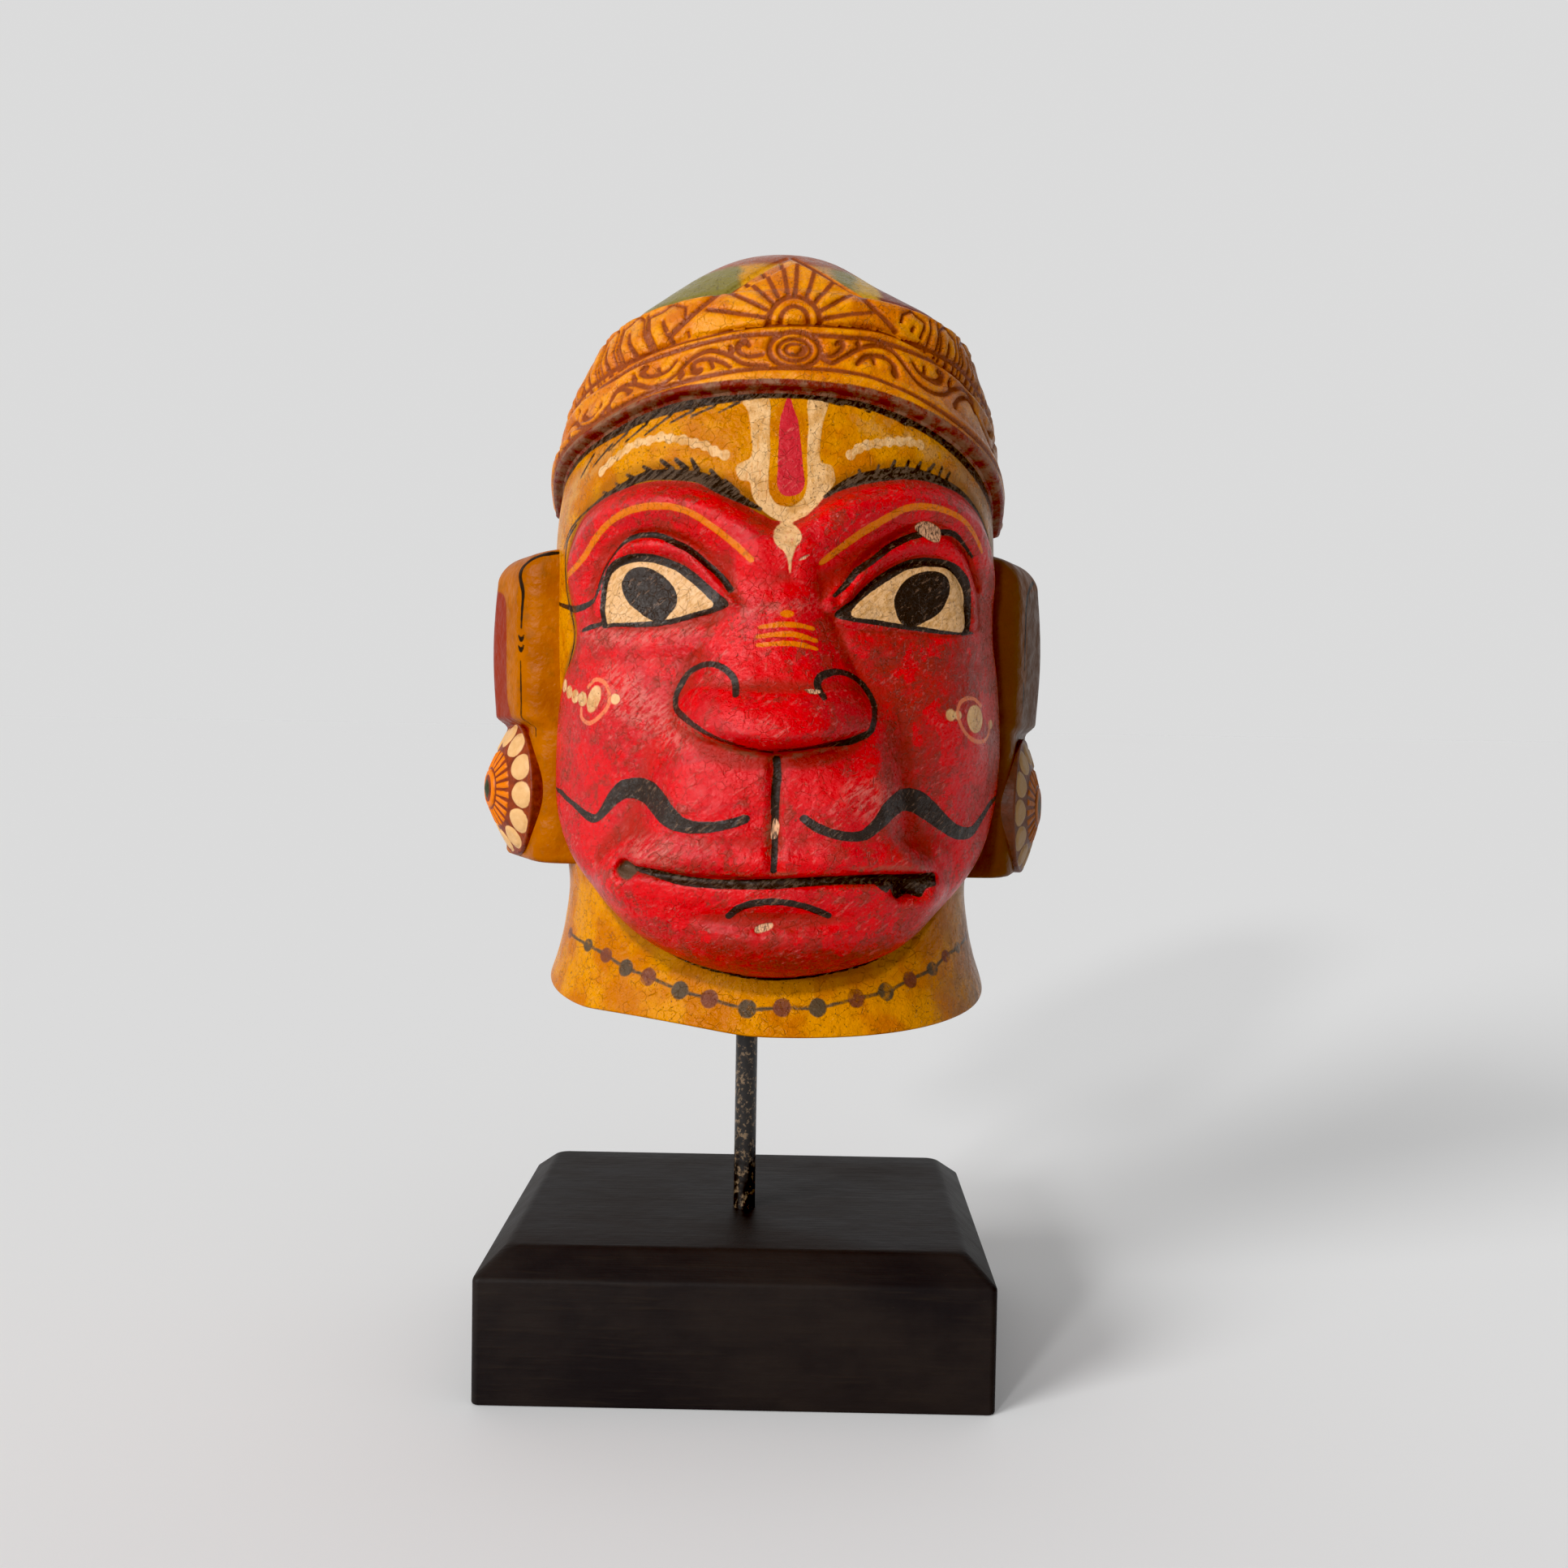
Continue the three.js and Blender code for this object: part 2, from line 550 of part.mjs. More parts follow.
// A round boss with a blunt point, turned to lie on the ear's slanted face
function discSolid(ear) {
  const profile = [[0, -DISC_ROOT], [DISC_RADIUS - DISC_EDGE, -DISC_ROOT], [DISC_RADIUS, 0],
    [DISC_RADIUS, DISC_SHOULDER - DISC_EDGE]];
  for (let i = 0; i <= DISC_RINGS; i += 1) {
    const share = 1 - i / DISC_RINGS;
    const height = DISC_SHOULDER + (ear.discRise - DISC_SHOULDER) * (1 - share ** DISC_POINT);
    profile.push([(DISC_RADIUS - DISC_EDGE) * share, height]);
  }
  const geometry = new THREE.LatheGeometry(profile.map(([x, y]) => new THREE.Vector2(x, y)), DISC_SIDES);
  const run = new THREE.Vector2(ear.lowOut - ear.lowFront, ear.lowBack - EAR_FRONT_Y).normalize();
  const outward = new THREE.Vector3(ear.side * run.y, -run.x, 0);
  geometry.applyQuaternion(new THREE.Quaternion().setFromUnitVectors(new THREE.Vector3(0, 1, 0), outward));
  const x = ear.side * (ear.lowFront + run.x * DISC_RADIUS);
  geometry.translate(x, EAR_FRONT_Y + run.y * DISC_RADIUS, ear.discZ);
  return solidFrom(geometry);
}

// The rod's hole, in the frame of the piece it is cut into
function holeSolid(x, y, bottom, top) {
  const radius = ROD_RADIUS + FIT_GAP;
  const geometry = new THREE.CylinderGeometry(radius, radius, top - bottom, ROD_SIDES);
  return solidFrom(geometry.rotateX(Math.PI / 2).translate(x, y, (top + bottom) / 2));
}

// Everything under a slanting cut through the neck
function underCut(cut) {
  const block = new THREE.BoxGeometry(CUT_SIZE, CUT_SIZE, CUT_DEPTH).translate(0, 0, -CUT_DEPTH / 2);
  block.rotateX(Math.atan(cut.tilt)).rotateY(Math.atan(cut.roll)).translate(0, NECK_FRONT_Y, cut.z);
  return solidFrom(block);
}

// Everything behind the flat back
function behindBack() {
  return solidFrom(new THREE.BoxGeometry(CUT_SIZE, CUT_DEPTH, CUT_SIZE).translate(
    0,
    BACK_Y + CUT_DEPTH / 2,
    CUT_SIZE / 2,
  ));
}

function maskSolid() {
  let solid = headSolid();
  for (const ear of EARS) solid = solid.add(earSolid(ear)).add(discSolid(ear));
  for (const cut of NECK_CUTS) solid = solid.subtract(underCut(cut));
  const hole = holeSolid(ROD_X - MASK_X, ROD_Y - MASK_Y, -ROD_IN_BASE, ROD_HOLE_TOP);
  return solid.subtract(behindBack()).subtract(hollowSolid()).subtract(hole);
}

function maskMesh() {
  const mesh = new THREE.Mesh(
    geometryFrom(maskSolid()),
    new THREE.MeshStandardMaterial({ color: 0xb3262b, roughness: 0.42, metalness: 0 }),
  );
  mesh.name = "mask";
  mesh.position.set(MASK_X, MASK_Y, MASK_Z);
  return mesh;
}

// The rod stands in a hole in the base and ends in the mask's neck

function rodMesh() {
  const bottom = BASE_HEIGHT - ROD_IN_BASE;
  const top = MASK_Z + ROD_HOLE_TOP - FIT_GAP;
  const profile = [[0, bottom], [ROD_RADIUS - ROD_EDGE, bottom], [ROD_RADIUS, bottom + ROD_EDGE],
    [ROD_RADIUS, top - ROD_EDGE], [ROD_RADIUS - ROD_EDGE, top], [0, top]];
  const geometry = new THREE.LatheGeometry(profile.map(([x, y]) => new THREE.Vector2(x, y)), ROD_SIDES);
  const mesh = new THREE.Mesh(
    geometry.rotateX(Math.PI / 2),
    new THREE.MeshStandardMaterial({ color: 0x17140f, roughness: 0.35, metalness: 0.6 }),
  );
  mesh.name = "rod";
  mesh.position.set(ROD_X, ROD_Y, 0);
  return mesh;
}

// The base: a block with softened edges and a wide bevel round its top

function baseRing(inset, z) {
  const halfWidth = BASE_WIDTH / 2 - inset;
  const halfDepth = BASE_DEPTH / 2 - inset;
  const ring = [];
  for (const [sx, sy] of [[-1, -1], [1, -1], [1, 1], [-1, 1]]) {
    const along = [sx * halfWidth, sy * (halfDepth - BASE_EDGE), z];
    const across = [sx * (halfWidth - BASE_EDGE), sy * halfDepth, z];
    ring.push(...(sx * sy > 0 ? [along, across] : [across, along]));
  }
  return ring;
}

function baseMesh() {
  const shoulder = BASE_HEIGHT - BEVEL_DROP;
  const rings = [
    baseRing(BASE_EDGE, 0),
    baseRing(0, BASE_EDGE),
    baseRing(0, shoulder - BASE_EDGE / 2),
    baseRing(BASE_EDGE / 2, shoulder + BASE_EDGE / 4),
    baseRing(BEVEL_RUN - BASE_EDGE / 2, BASE_HEIGHT - BASE_EDGE / 4),
    baseRing(BEVEL_RUN + BASE_EDGE, BASE_HEIGHT),
  ];
  const hole = holeSolid(ROD_X, ROD_Y, BASE_HEIGHT - ROD_IN_BASE - FIT_GAP, BASE_HEIGHT + ROD_RADIUS);
  const mesh = new THREE.Mesh(
    geometryFrom(solidFrom(pile(rings)).subtract(hole)),
    new THREE.MeshStandardMaterial({ color: 0x1a1512, roughness: 0.55, metalness: 0 }),
  );
  mesh.name = "base";
  return mesh;
}

const group = new THREE.Group();
group.add(baseMesh(), rodMesh(), maskMesh());

export default group;
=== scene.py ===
import math

import bpy
import numpy as np
from mathutils import Matrix, Vector


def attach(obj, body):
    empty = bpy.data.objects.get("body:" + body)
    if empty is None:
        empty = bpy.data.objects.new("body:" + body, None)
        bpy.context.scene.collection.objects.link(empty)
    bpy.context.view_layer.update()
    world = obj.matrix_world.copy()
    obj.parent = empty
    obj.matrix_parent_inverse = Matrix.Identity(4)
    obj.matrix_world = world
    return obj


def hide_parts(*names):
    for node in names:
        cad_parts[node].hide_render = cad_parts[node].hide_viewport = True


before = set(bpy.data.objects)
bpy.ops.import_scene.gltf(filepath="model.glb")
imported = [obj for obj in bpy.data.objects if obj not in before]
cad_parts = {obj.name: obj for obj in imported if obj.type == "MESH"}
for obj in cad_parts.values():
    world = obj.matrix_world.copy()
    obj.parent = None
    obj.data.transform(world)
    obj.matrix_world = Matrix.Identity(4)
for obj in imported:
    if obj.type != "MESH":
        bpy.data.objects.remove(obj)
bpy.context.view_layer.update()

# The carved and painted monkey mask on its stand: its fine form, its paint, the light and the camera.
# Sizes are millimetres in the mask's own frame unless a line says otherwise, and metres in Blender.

MM = 0.001

# Driving dimensions, the same as the CAD model's

BASE_WIDTH = 150.0
BASE_DEPTH = 118.0
BASE_HEIGHT = 44.0
BEVEL_DROP = 7.5
BEVEL_RUN = 8.6
ROD_RADIUS = 3.4
ROD_AT = np.array([1.0, -10.0])
ROD_IN_BASE = 20.0
FIT_GAP = 0.3
MASK_AT = np.array([9.0, 12.0, 102.5])
TOP_Z = 248.0
BACK_Y = 25.0
HEAD_HALF = 72.0
HEAD_DEEP = 82.0
DOME_START_Z = 150.0
SECTION_POWER = 0.7
DOME_POWER = 2.5
NECK_FRONT_Y = -46.0
NECK_CUTS = [dict(z=0.0, tilt=0.16, roll=0.02), dict(z=-1.9, tilt=-0.285, roll=0.195)]
NECK_SOFTNESS = 0.6
NECK_REACH = 36.0
ROD_HOLE_TOP = 28.0
WALL = 13.0
HOLLOW_FLOOR = 38.0
HOLLOW_CROWN = 0.7
RIM_Z = 190.0

# Small mathematics


def smooth(start, end, value):
    t = np.clip((value - start) / (end - start), 0, 1)
    return t * t * (3 - 2 * t)


def round_top(t):
    return np.sqrt(np.clip(1 - t * t, 0, None))


def soft_bump(t):
    return np.where(np.abs(t) < 1, (1 - t * t) ** 2, 0.0)


def curve(points):
    """A smooth curve through points that never overshoots between them."""
    xs = np.array([p[0] for p in points], float)
    ys = np.array([p[1] for p in points], float)
    widths = np.diff(xs)
    slopes = np.diff(ys) / widths
    tangents = np.zeros(len(xs))
    tangents[0] = slopes[0]
    tangents[-1] = slopes[-1]
    for i in range(1, len(xs) - 1):
        product = slopes[i - 1] * slopes[i]
        tangents[i] = 0 if product <= 0 else 2 * product / (slopes[i - 1] + slopes[i])

    def value(x):
        x = np.clip(x, xs[0], xs[-1])
        i = np.clip(np.searchsorted(xs, x, side="right") - 1, 0, len(xs) - 2)
        t = (x - xs[i]) / widths[i]
        start = (1 + 2 * t) * (1 - t) ** 2 * ys[i] + t * (1 - t) ** 2 * widths[i] * tangents[i]
        end = t * t * (3 - 2 * t) * ys[i + 1] + t * t * (t - 1) * widths[i] * tangents[i + 1]
        return start + end

    return value


def smooth_line(points, closed=False, pieces=6):
    """A line that passes smoothly through its points, in short straight pieces."""
    points = np.array(points, float)
    count = len(points)
    line = []
    for i in range(count if closed else count - 1):
        around = [i - 1, i, i + 1, i + 2]
        if closed:
            a, b, c, d = points[[k % count for k in around]]
        else:
            a, b, c, d = points[[min(max(k, 0), count - 1) for k in around]]
        for step in range(pieces):
            t = step / pieces
            square = (2 * a - 5 * b + 4 * c - d) * t**2
            cube = (3 * b - a - 3 * c + d) * t**3
            line.append(0.5 * (2 * b + (c - a) * t + square + cube))
    line.append(line[0] if closed else points[-1])
    return np.array(line)


def line_distance(u, z, line):
    shape = np.shape(u)
    spots = np.stack([np.ravel(u), np.ravel(z)], -1).astype(float)
    nearest = np.full(len(spots), 1e18)
    for start, end in zip(line[:-1], line[1:]):
        run = end - start
        length = run @ run
        if length < 1e-12:
            continue
        along = np.clip(((spots - start) @ run) / length, 0, 1)
        away = spots - (start + along[:, None] * run)
        nearest = np.minimum(nearest, (away * away).sum(1))
    return np.sqrt(nearest).reshape(shape)


def depth_inside(u, z, line):
    """How far a point lies inside a closed line, negative outside."""
    across = np.ravel(u)
    up = np.ravel(z)
    inside = np.zeros(len(across), bool)
    for (u1, z1), (u2, z2) in zip(line[:-1], line[1:]):
        if z1 != z2:
            inside ^= ((z1 > up) != (z2 > up)) & (across < (u2 - u1) * (up - z1) / (z2 - z1) + u1)
    distance = line_distance(u, z, line)
    return np.where(inside.reshape(np.shape(u)), distance, -distance)


# The head's plain form. A point on it is given by u, the way round a level section from the middle of
# the face, and by the height z.

low_half = curve([
    [0, 74], [9, 72.3], [18, 69.5], [28, 67.3], [40, 66], [60, 69], [85, 72], [110, 73],
    [DOME_START_Z, HEAD_HALF],
])
low_deep = curve([
    [0, 72], [6, 70], [18, 67], [40, 68], [60, 73], [85, 79], [110, 81.5], [DOME_START_Z, HEAD_DEEP],
])
dome_slim = curve([
    [DOME_START_Z, 1], [190, 0.976], [202, 0.955], [210, 0.97], [216, 1], [222, 1.05], [228, 0.97],
    [234, 0.89], [240, 0.86], [TOP_Z, 0.91],
])
lean = curve([
    [0, -3], [45, -3], [90, -0.5], [150, -2], [175, -1.5], [205, -0.3], [220, 1.2], [235, -1.4],
    [TOP_Z, -0.5],
])


def dome_rise(z):
    return np.clip((z - DOME_START_Z) / (TOP_Z - DOME_START_Z), 0, 1)


def half(z):
    return np.where(z < DOME_START_Z, low_half(z), HEAD_HALF * round_top(dome_rise(z)) * dome_slim(z))


def deep(z):
    return np.where(z < DOME_START_Z, low_deep(z), HEAD_DEEP * np.sqrt(1 - dome_rise(z) ** DOME_POWER))


SECTION_STEPS = 900
section_angle = (math.pi / 2) * (1 - (1 - np.arange(SECTION_STEPS + 1) / SECTION_STEPS) ** 3)
section_x = HEAD_HALF * np.sin(section_angle)
section_y = HEAD_DEEP * np.clip(np.cos(section_angle), 0, None) ** SECTION_POWER
section_arc = np.concatenate([[0], np.cumsum(np.hypot(np.diff(section_x), np.diff(section_y)))])
U_MAX = section_arc[-1]


def angle_at(u):
    return np.sign(u) * np.interp(np.abs(u), section_arc, section_angle)


# The red face: a mass that stands forward of the neck and the cheeks, with a rounded edge

FACE_OUTLINE = smooth_line([
    [3, 152], [13.5, 159], [26, 164], [43, 166], [62, 164], [79, 157], [89, 146], [88, 132], [84, 121],
    [88, 108], [91, 90], [90, 70], [79, 51], [59, 35.5], [36, 23], [4, 17.5], [-25, 22.5], [-48, 34.5],
    [-67, 50], [-81, 69], [-84, 90], [-78, 105], [-67, 118], [-72, 130], [-76, 141], [-70, 151],
    [-61, 157.5], [-46, 162.5], [-30, 163.5], [-17, 161], [-4, 154],
], True)
face_rise = curve([[16, 17], [40, 17], [60, 12], [80, 9], [100, 6.5], [118, 5], [140, 4.5], [166, 4.5]])
face_edge = curve([[16, 17], [40, 14], [70, 8], [110, 6], [166, 7]])
face_overhang = curve([[0, 0.7], [50, 0.7], [80, 0.45], [110, 0.3], [TOP_Z, 0.3]])


def face_mass(u, z):
    inside = depth_inside(u, z, FACE_OUTLINE)
    share = np.clip(inside / face_edge(z), 0, 1)
    steep = round_top(1 - share)
    gentle = smooth(0, 1, share)
    return np.where(inside > 0, face_rise(z) * (steep + (gentle - steep) * smooth(120, 150, z)), 0)


muzzle_half = curve([[20, 40], [44, 50], [60, 37], [78, 33], [100, 30]])
muzzle_rise = curve([[18, 0], [34, 3.5], [44, 6], [56, 9], [74, 9.5], [88, 8], [104, 0]])


def muzzle(u, z):
    reach = muzzle_half(z)
    shoulder = np.where(u > 1, 7, 11)
    return muzzle_rise(z) * (1 - smooth(reach - shoulder, reach + 7, np.abs(u - 1)))


nose_rise = curve([
    [0, 0], [1.2, 4], [3, 10], [6, 13.5], [12, 14.5], [19, 12], [29, 8.5], [39, 6], [50, 3.5], [61, 1.5],
    [70, 0],
])
nose_half = curve([[84, 29], [96, 29], [104, 26], [112, 22], [122, 18], [135, 14], [152, 11]])


def nose(u, z):
    underside = 84.5 + 8 * (u / 27) ** 2
    across = np.abs(u) / nose_half(z)
    rise = nose_rise(z - underside) * np.clip(1 - across**2.6, 0, None) ** 1.3
    return np.where((across < 1) & (z > underside), rise, 0)


MOUTH_LINE = smooth_line([[-38, 51.5], [-28, 50], [-14, 48.6], [3, 48.6], [22, 49.3], [34, 49.6], [47, 49]])


def mouth(u, z):
    away = line_distance(u, z, MOUTH_LINE)
    lips = 1.6 * soft_bump((away - 5) / 7) * (0.5 + 0.5 * smooth(48, 54, z))
    left_pit = 3 * soft_bump(np.hypot(u + 36.5, z - 50.5) / 5)
    right_pit = 5 * soft_bump(np.hypot((u - 39) / 1.6, z - 46.3) / 5.2)
    return lips - 2.4 * soft_bump(away / 2.4) - left_pit - right_pit


PHILTRUM = np.array([[2.8, 52], [1.0, 84]])


def upper_lip(u, z):
    lobes = 1.8 * soft_bump(np.hypot((np.abs(u - 2) - 18) / 15, (z - 65) / 17))
    return lobes - 1.6 * soft_bump(line_distance(u, z, PHILTRUM) / 3.2)


def chin(u, z):
    ball = 2.5 * soft_bump(np.hypot((u - 2) / 34, (z - 28) / 13))
    return ball - 1.6 * soft_bump(np.hypot((u - 2) / 24, (z - 37) / 5))


EYE_OUTLINES = [
    smooth_line([
        [-50.5, 123], [-50, 131.5], [-48, 137], [-43, 139.6], [-36.3, 140.4], [-27, 138.2], [-20, 133],
        [-14.4, 127], [-20.5, 125], [-36, 122.1],
    ], True),
    smooth_line([
        [18.5, 123.2], [25, 129.5], [31.7, 135.6], [38.3, 139], [48, 140.8], [56.3, 139.2], [60.5, 132.5],
        [59.6, 122.7], [42.5, 121.9], [29, 122],
    ], True),
]
SOCKETS = [[-36, 134, 30, 23], [41, 134, 33, 24]]
LIDS = [
    smooth_line([[-54, 127], [-53, 137], [-45, 143.8], [-35, 144.5], [-25, 141.5], [-17, 134.5], [-11, 128]]),
    smooth_line([[17, 128], [26, 137], [35, 143], [47, 146.5], [58, 144.5], [65, 136], [66, 126]]),
]
LID_FOLDS = [
    smooth_line([[-56, 135], [-50, 143], [-41, 147.5], [-33, 148], [-24, 144.5], [-17, 138], [-9, 128.5]]),
    smooth_line([[18, 129], [25, 139], [33, 146], [43, 151.3], [53, 151.8], [64, 146.5], [70.5, 136]]),
]
BROWS = [
    smooth_line([[-3, 143], [-14, 152], [-30, 158], [-46, 157], [-58, 151], [-66, 140]]),
    smooth_line([[10, 143], [22, 153], [38, 160], [54, 160.5], [70, 153], [80, 140]]),
]


def eyes(u, z):
    rise = 0 * u
    for middle_u, middle_z, reach_u, reach_z in SOCKETS:
        rise = rise - 5 * soft_bump(np.hypot((u - middle_u) / reach_u, (z - middle_z) / reach_z))
    for outline in EYE_OUTLINES:
        inside = depth_inside(u, z, outline)
        rise = rise + np.where(inside > -1, 3 * round_top(1 - np.clip((inside + 1) / 9, 0, 1)), 0)
    for lid in LIDS:
        rise = rise + 2.6 * soft_bump(line_distance(u, z, lid) / 4)
    for fold in LID_FOLDS:
        rise = rise - 1.5 * soft_bump(line_distance(u, z, fold) / 2.2)
    for brow in BROWS:
        rise = rise + 3.2 * soft_bump(line_distance(u, z, brow) / 11)
    return rise


def cheeks(u, z):
    side = np.abs(u - 2)
    apple = 3 * soft_bump(np.hypot((side - 58) / 30, (z - 96) / 26))
    return apple + 1.6 * soft_bump((z - 118) / 7) * smooth(14, 22, side) * (1 - smooth(66, 76, side))


def carving(u, z):
    parts = (face_mass, muzzle, nose, upper_lip, mouth, chin, eyes, cheeks)
    return sum(part(u, z) for part in parts)


# The crown: rim, fillets, band, ribs and crest. Heights are counted from the rim's curved lower edge.

rim_z = curve([
    [-125, 161], [-97, 170.5], [-65, 179.5], [-43, 186], [-29, 188.6], [0, RIM_Z], [25, 189], [37, 187],
    [53, 182.8], [75, 175], [98, 166], [125, 157],
])
band_top = curve([[-120, 16.5], [-60, 18], [-33, 18], [0, 19.7], [21, 20.8], [40, 23], [120, 23.2]])


def ring_top(u):
    return 222 - 12 * (u / 100) ** 2


def crown(u, z):
    above = z - rim_z(u)
    top = band_top(u)
    ring_end = 1 - smooth(-1, 2, z - ring_top(u))
    body = 4 * smooth(-0.4, 1.2, above) * ring_end
    ribs = 3.2 * smooth(0, 9, above - top) * ring_end
    fillets = 1.2 * soft_bump((above - 5) / 3) + 1.2 * soft_bump((above - top + 2) / 3)
    return body + ribs + fillets - 0.8 * soft_bump((above - top - 0.6) / 1.4)


CREST_MIDDLE_X = 3.5
CREST_HALF = 34.0
CREST_FOOT_Z = 211.0
CREST_TOP_Z = 234.0
CREST_FOOT_Y = -50.5
CREST_TOP_Y = -31.0
CREST_WRAP = 12.0
CREST_EDGE = 2.0
CREST_FOOT_EDGE = 5.0


def crest_half(z, top):
    """Half the crest's width at a height, for a crest that comes to a point at the top."""
    return CREST_HALF * (1 - (z - CREST_FOOT_Z) / (top - CREST_FOOT_Z))


def crest(x, y, z, above_band):
    """How far forward the crest's sloping plate brings a point of the dome."""
    up = (z - CREST_FOOT_Z) / (CREST_TOP_Z - CREST_FOOT_Z)
    across = np.abs(x - CREST_MIDDLE_X)
    plate = CREST_FOOT_Y + (CREST_TOP_Y - CREST_FOOT_Y) * up + CREST_WRAP * (across / CREST_HALF) ** 2
    side = smooth(-CREST_EDGE, CREST_EDGE, CREST_HALF * (1 - np.clip(up, 0, None)) - across)
    ends = smooth(0, CREST_FOOT_EDGE, above_band) * smooth(-CREST_EDGE, CREST_EDGE, CREST_TOP_Z - z)
    return side * ends * np.clip(y - plate, 0, None)


BACK_EDGE = 1.2


def mask_point(u, z, relief=0.0):
    """A point of the mask's painted outside. The relief is added outward, for cut lines and worn edges."""
    angle = angle_at(u)
    sine = np.sin(angle)
    cosine = np.clip(np.cos(angle), 0, None)
    forward = carving(u, z)
    outward = crown(u, z) + relief
    worn = BACK_EDGE * (1 - round_top(1 - np.clip((U_MAX - np.abs(u)) / BACK_EDGE, 0, 1)))
    x = lean(z) + (half(z) + outward + face_overhang(z) * forward - worn) * sine
    y = BACK_Y - deep(z) * cosine**SECTION_POWER - (outward + forward) * cosine
    return np.stack([x, y - crest(x, y, z, z - rim_z(u) - band_top(u)), z + 0 * x], -1)


def row_height(u, z):
    """Rows follow the crown's rim where they pass it."""
    return z + (rim_z(u) - RIM_Z) * smooth(60, RIM_Z, z) * (1 - smooth(RIM_Z + 38, TOP_Z, z))


def neck_cut(x, y):
    """The height of the neck's underside: two slanting cuts that meet softly."""
    first, second = (cut["z"] + cut["tilt"] * (y - NECK_FRONT_Y) - cut["roll"] * x for cut in NECK_CUTS)
    apart = first - second
    return (first + second + np.sqrt(apart**2 + NECK_SOFTNESS**2)) / 2


def steps(start, stretches):
    """Steps along a way, given as stretches of [end, count]."""
    values = [start]
    for end, count in stretches:
        values.extend(values[-1] + (end - values[-1]) * np.arange(1, count + 1) / count)
    return np.array(values)


# Paint fields. Each layer of paint is a number at every point of the surface: how far the point lies
# inside the painted shape in millimetres, negative outside. The shader draws the edge where it is zero.

FAR = -4.0
DEEPEST = 8.0


class Field:
    """One layer of paint over points with two coordinates each."""

    def __init__(self, across, up):
        self.across = across
        self.up = up
        self.depth = np.full(np.shape(across), FAR)

    def near(self, line, reach):
        low = line[:, :2].min(0) - reach
        high = line[:, :2].max(0) + reach
        inside = (self.across > low[0]) & (self.across < high[0])
        return inside & (self.up > low[1]) & (self.up < high[1])

    def put(self, where, depth):
        self.depth[where] = np.maximum(self.depth[where], np.maximum(depth, FAR))

    def fill(self, points, grow=0.0, pieces=5):
        """Fills the inside of a smooth closed outline."""
        line = smooth_line(points, True, pieces)
        where = self.near(line, -FAR + grow)
        if where.any():
            self.put(where, depth_inside(self.across[where], self.up[where], line) + grow)

    def stroke(self, points, width=None, closed=False, pieces=5):
        """Draws a brush stroke. Points are [across, up, half width], or [across, up] with one half width."""
        points = [list(p[:2]) + [p[2] if len(p) > 2 else width] for p in points]
        line = smooth_line(points, closed, pieces) if len(points) > 2 else np.array(points, float)
        where = self.near(line, -FAR + line[:, 2].max())
        if not where.any():
            return
        spots = np.stack([self.across[where], self.up[where]], -1)
        best = np.full(len(spots), FAR)
        for start, end in zip(line[:-1], line[1:]):
            run = (end - start)[:2]
            length = max(run @ run, 1e-9)
            along = np.clip(((spots - start[:2]) @ run) / length, 0, 1)
            away = spots - (start[:2] + along[:, None] * run)
            best = np.maximum(best, start[2] + (end[2] - start[2]) * along - np.hypot(away[:, 0], away[:, 1]))
        self.put(where, best)

    def dot(self, across, up, wide, high=None, turn=0.0):
        """A filled oval."""
        high = wide if high is None else high
        du = self.across - across
        dz = self.up - up
        cosine = math.cos(turn)
        sine = math.sin(turn)
        share = np.hypot((du * cosine + dz * sine) / wide, (dz * cosine - du * sine) / high)
        where = share < 1 - FAR / min(wide, high)
        self.put(where, (1 - share[where]) * min(wide, high))


def wider(stroke, gain):
    return [[across, up, half_width + gain] for across, up, half_width in stroke]


# The brush strokes of the face, in u, z and half width

BRUSH_GAIN = 0.12

BROW_STROKES = [
    [[-3.5, 155, 0.6], [-12.5, 159.5, 1.6], [-18, 162.5, 1.9], [-23, 164.5, 1.7], [-33, 165.5, 1.7],
     [-38.5, 165.5, 1.6], [-43, 164.5, 1.5], [-53.5, 161, 0.8], [-61, 158, 0.5], [-69, 155, 0.45],
     [-75.5, 151.5, 0.4], [-80, 147, 0.4]],
    [[15, 159, 0.5], [18.5, 161.5, 1], [22.5, 163.5, 1.5], [27, 165, 1.8], [36.5, 167, 2], [42, 167.5, 2],
     [47.5, 167.3, 1.7], [61, 165, 1.2], [70, 161.5, 1], [79, 156.5, 0.9], [88, 149, 0.8], [90, 138, 0.7]],
]
BROW_HAIRS = [
    [[-49, 163, 0.6], [-51.5, 164.3, 0.4]], [[-44, 165, 0.7], [-47.5, 166.5, 0.4]],
    [[-38.5, 167, 0.7], [-41.5, 168.5, 0.5]], [[-31, 167, 0.8], [-35.5, 170, 0.6]],
    [[-26.5, 167, 0.9], [-30.5, 170, 0.6]], [[-23, 166.5, 0.9], [-25.3, 169.8, 0.6]],
    [[-15.5, 163, 0.8], [-19, 166.5, 0.6]], [[-10.5, 160, 0.8], [-14.5, 163.5, 0.6]],
    [[-53, 161, 0.5], [-56.5, 162, 0.4]], [[26, 165.5, 0.6], [25.5, 167.5, 0.4]],
    [[31, 167, 0.6], [32, 169.3, 0.4]], [[36, 168.5, 0.6], [37.5, 171, 0.5]],
    [[41, 169, 0.6], [42.5, 171.5, 0.5]], [[45, 169, 0.7], [47, 171.5, 0.5]],
    [[49.5, 169, 0.7], [52.5, 171.5, 0.5]], [[54, 168.5, 0.6], [56, 171, 0.5]],
    [[57, 167.5, 0.6], [59.5, 170, 0.4]],
]
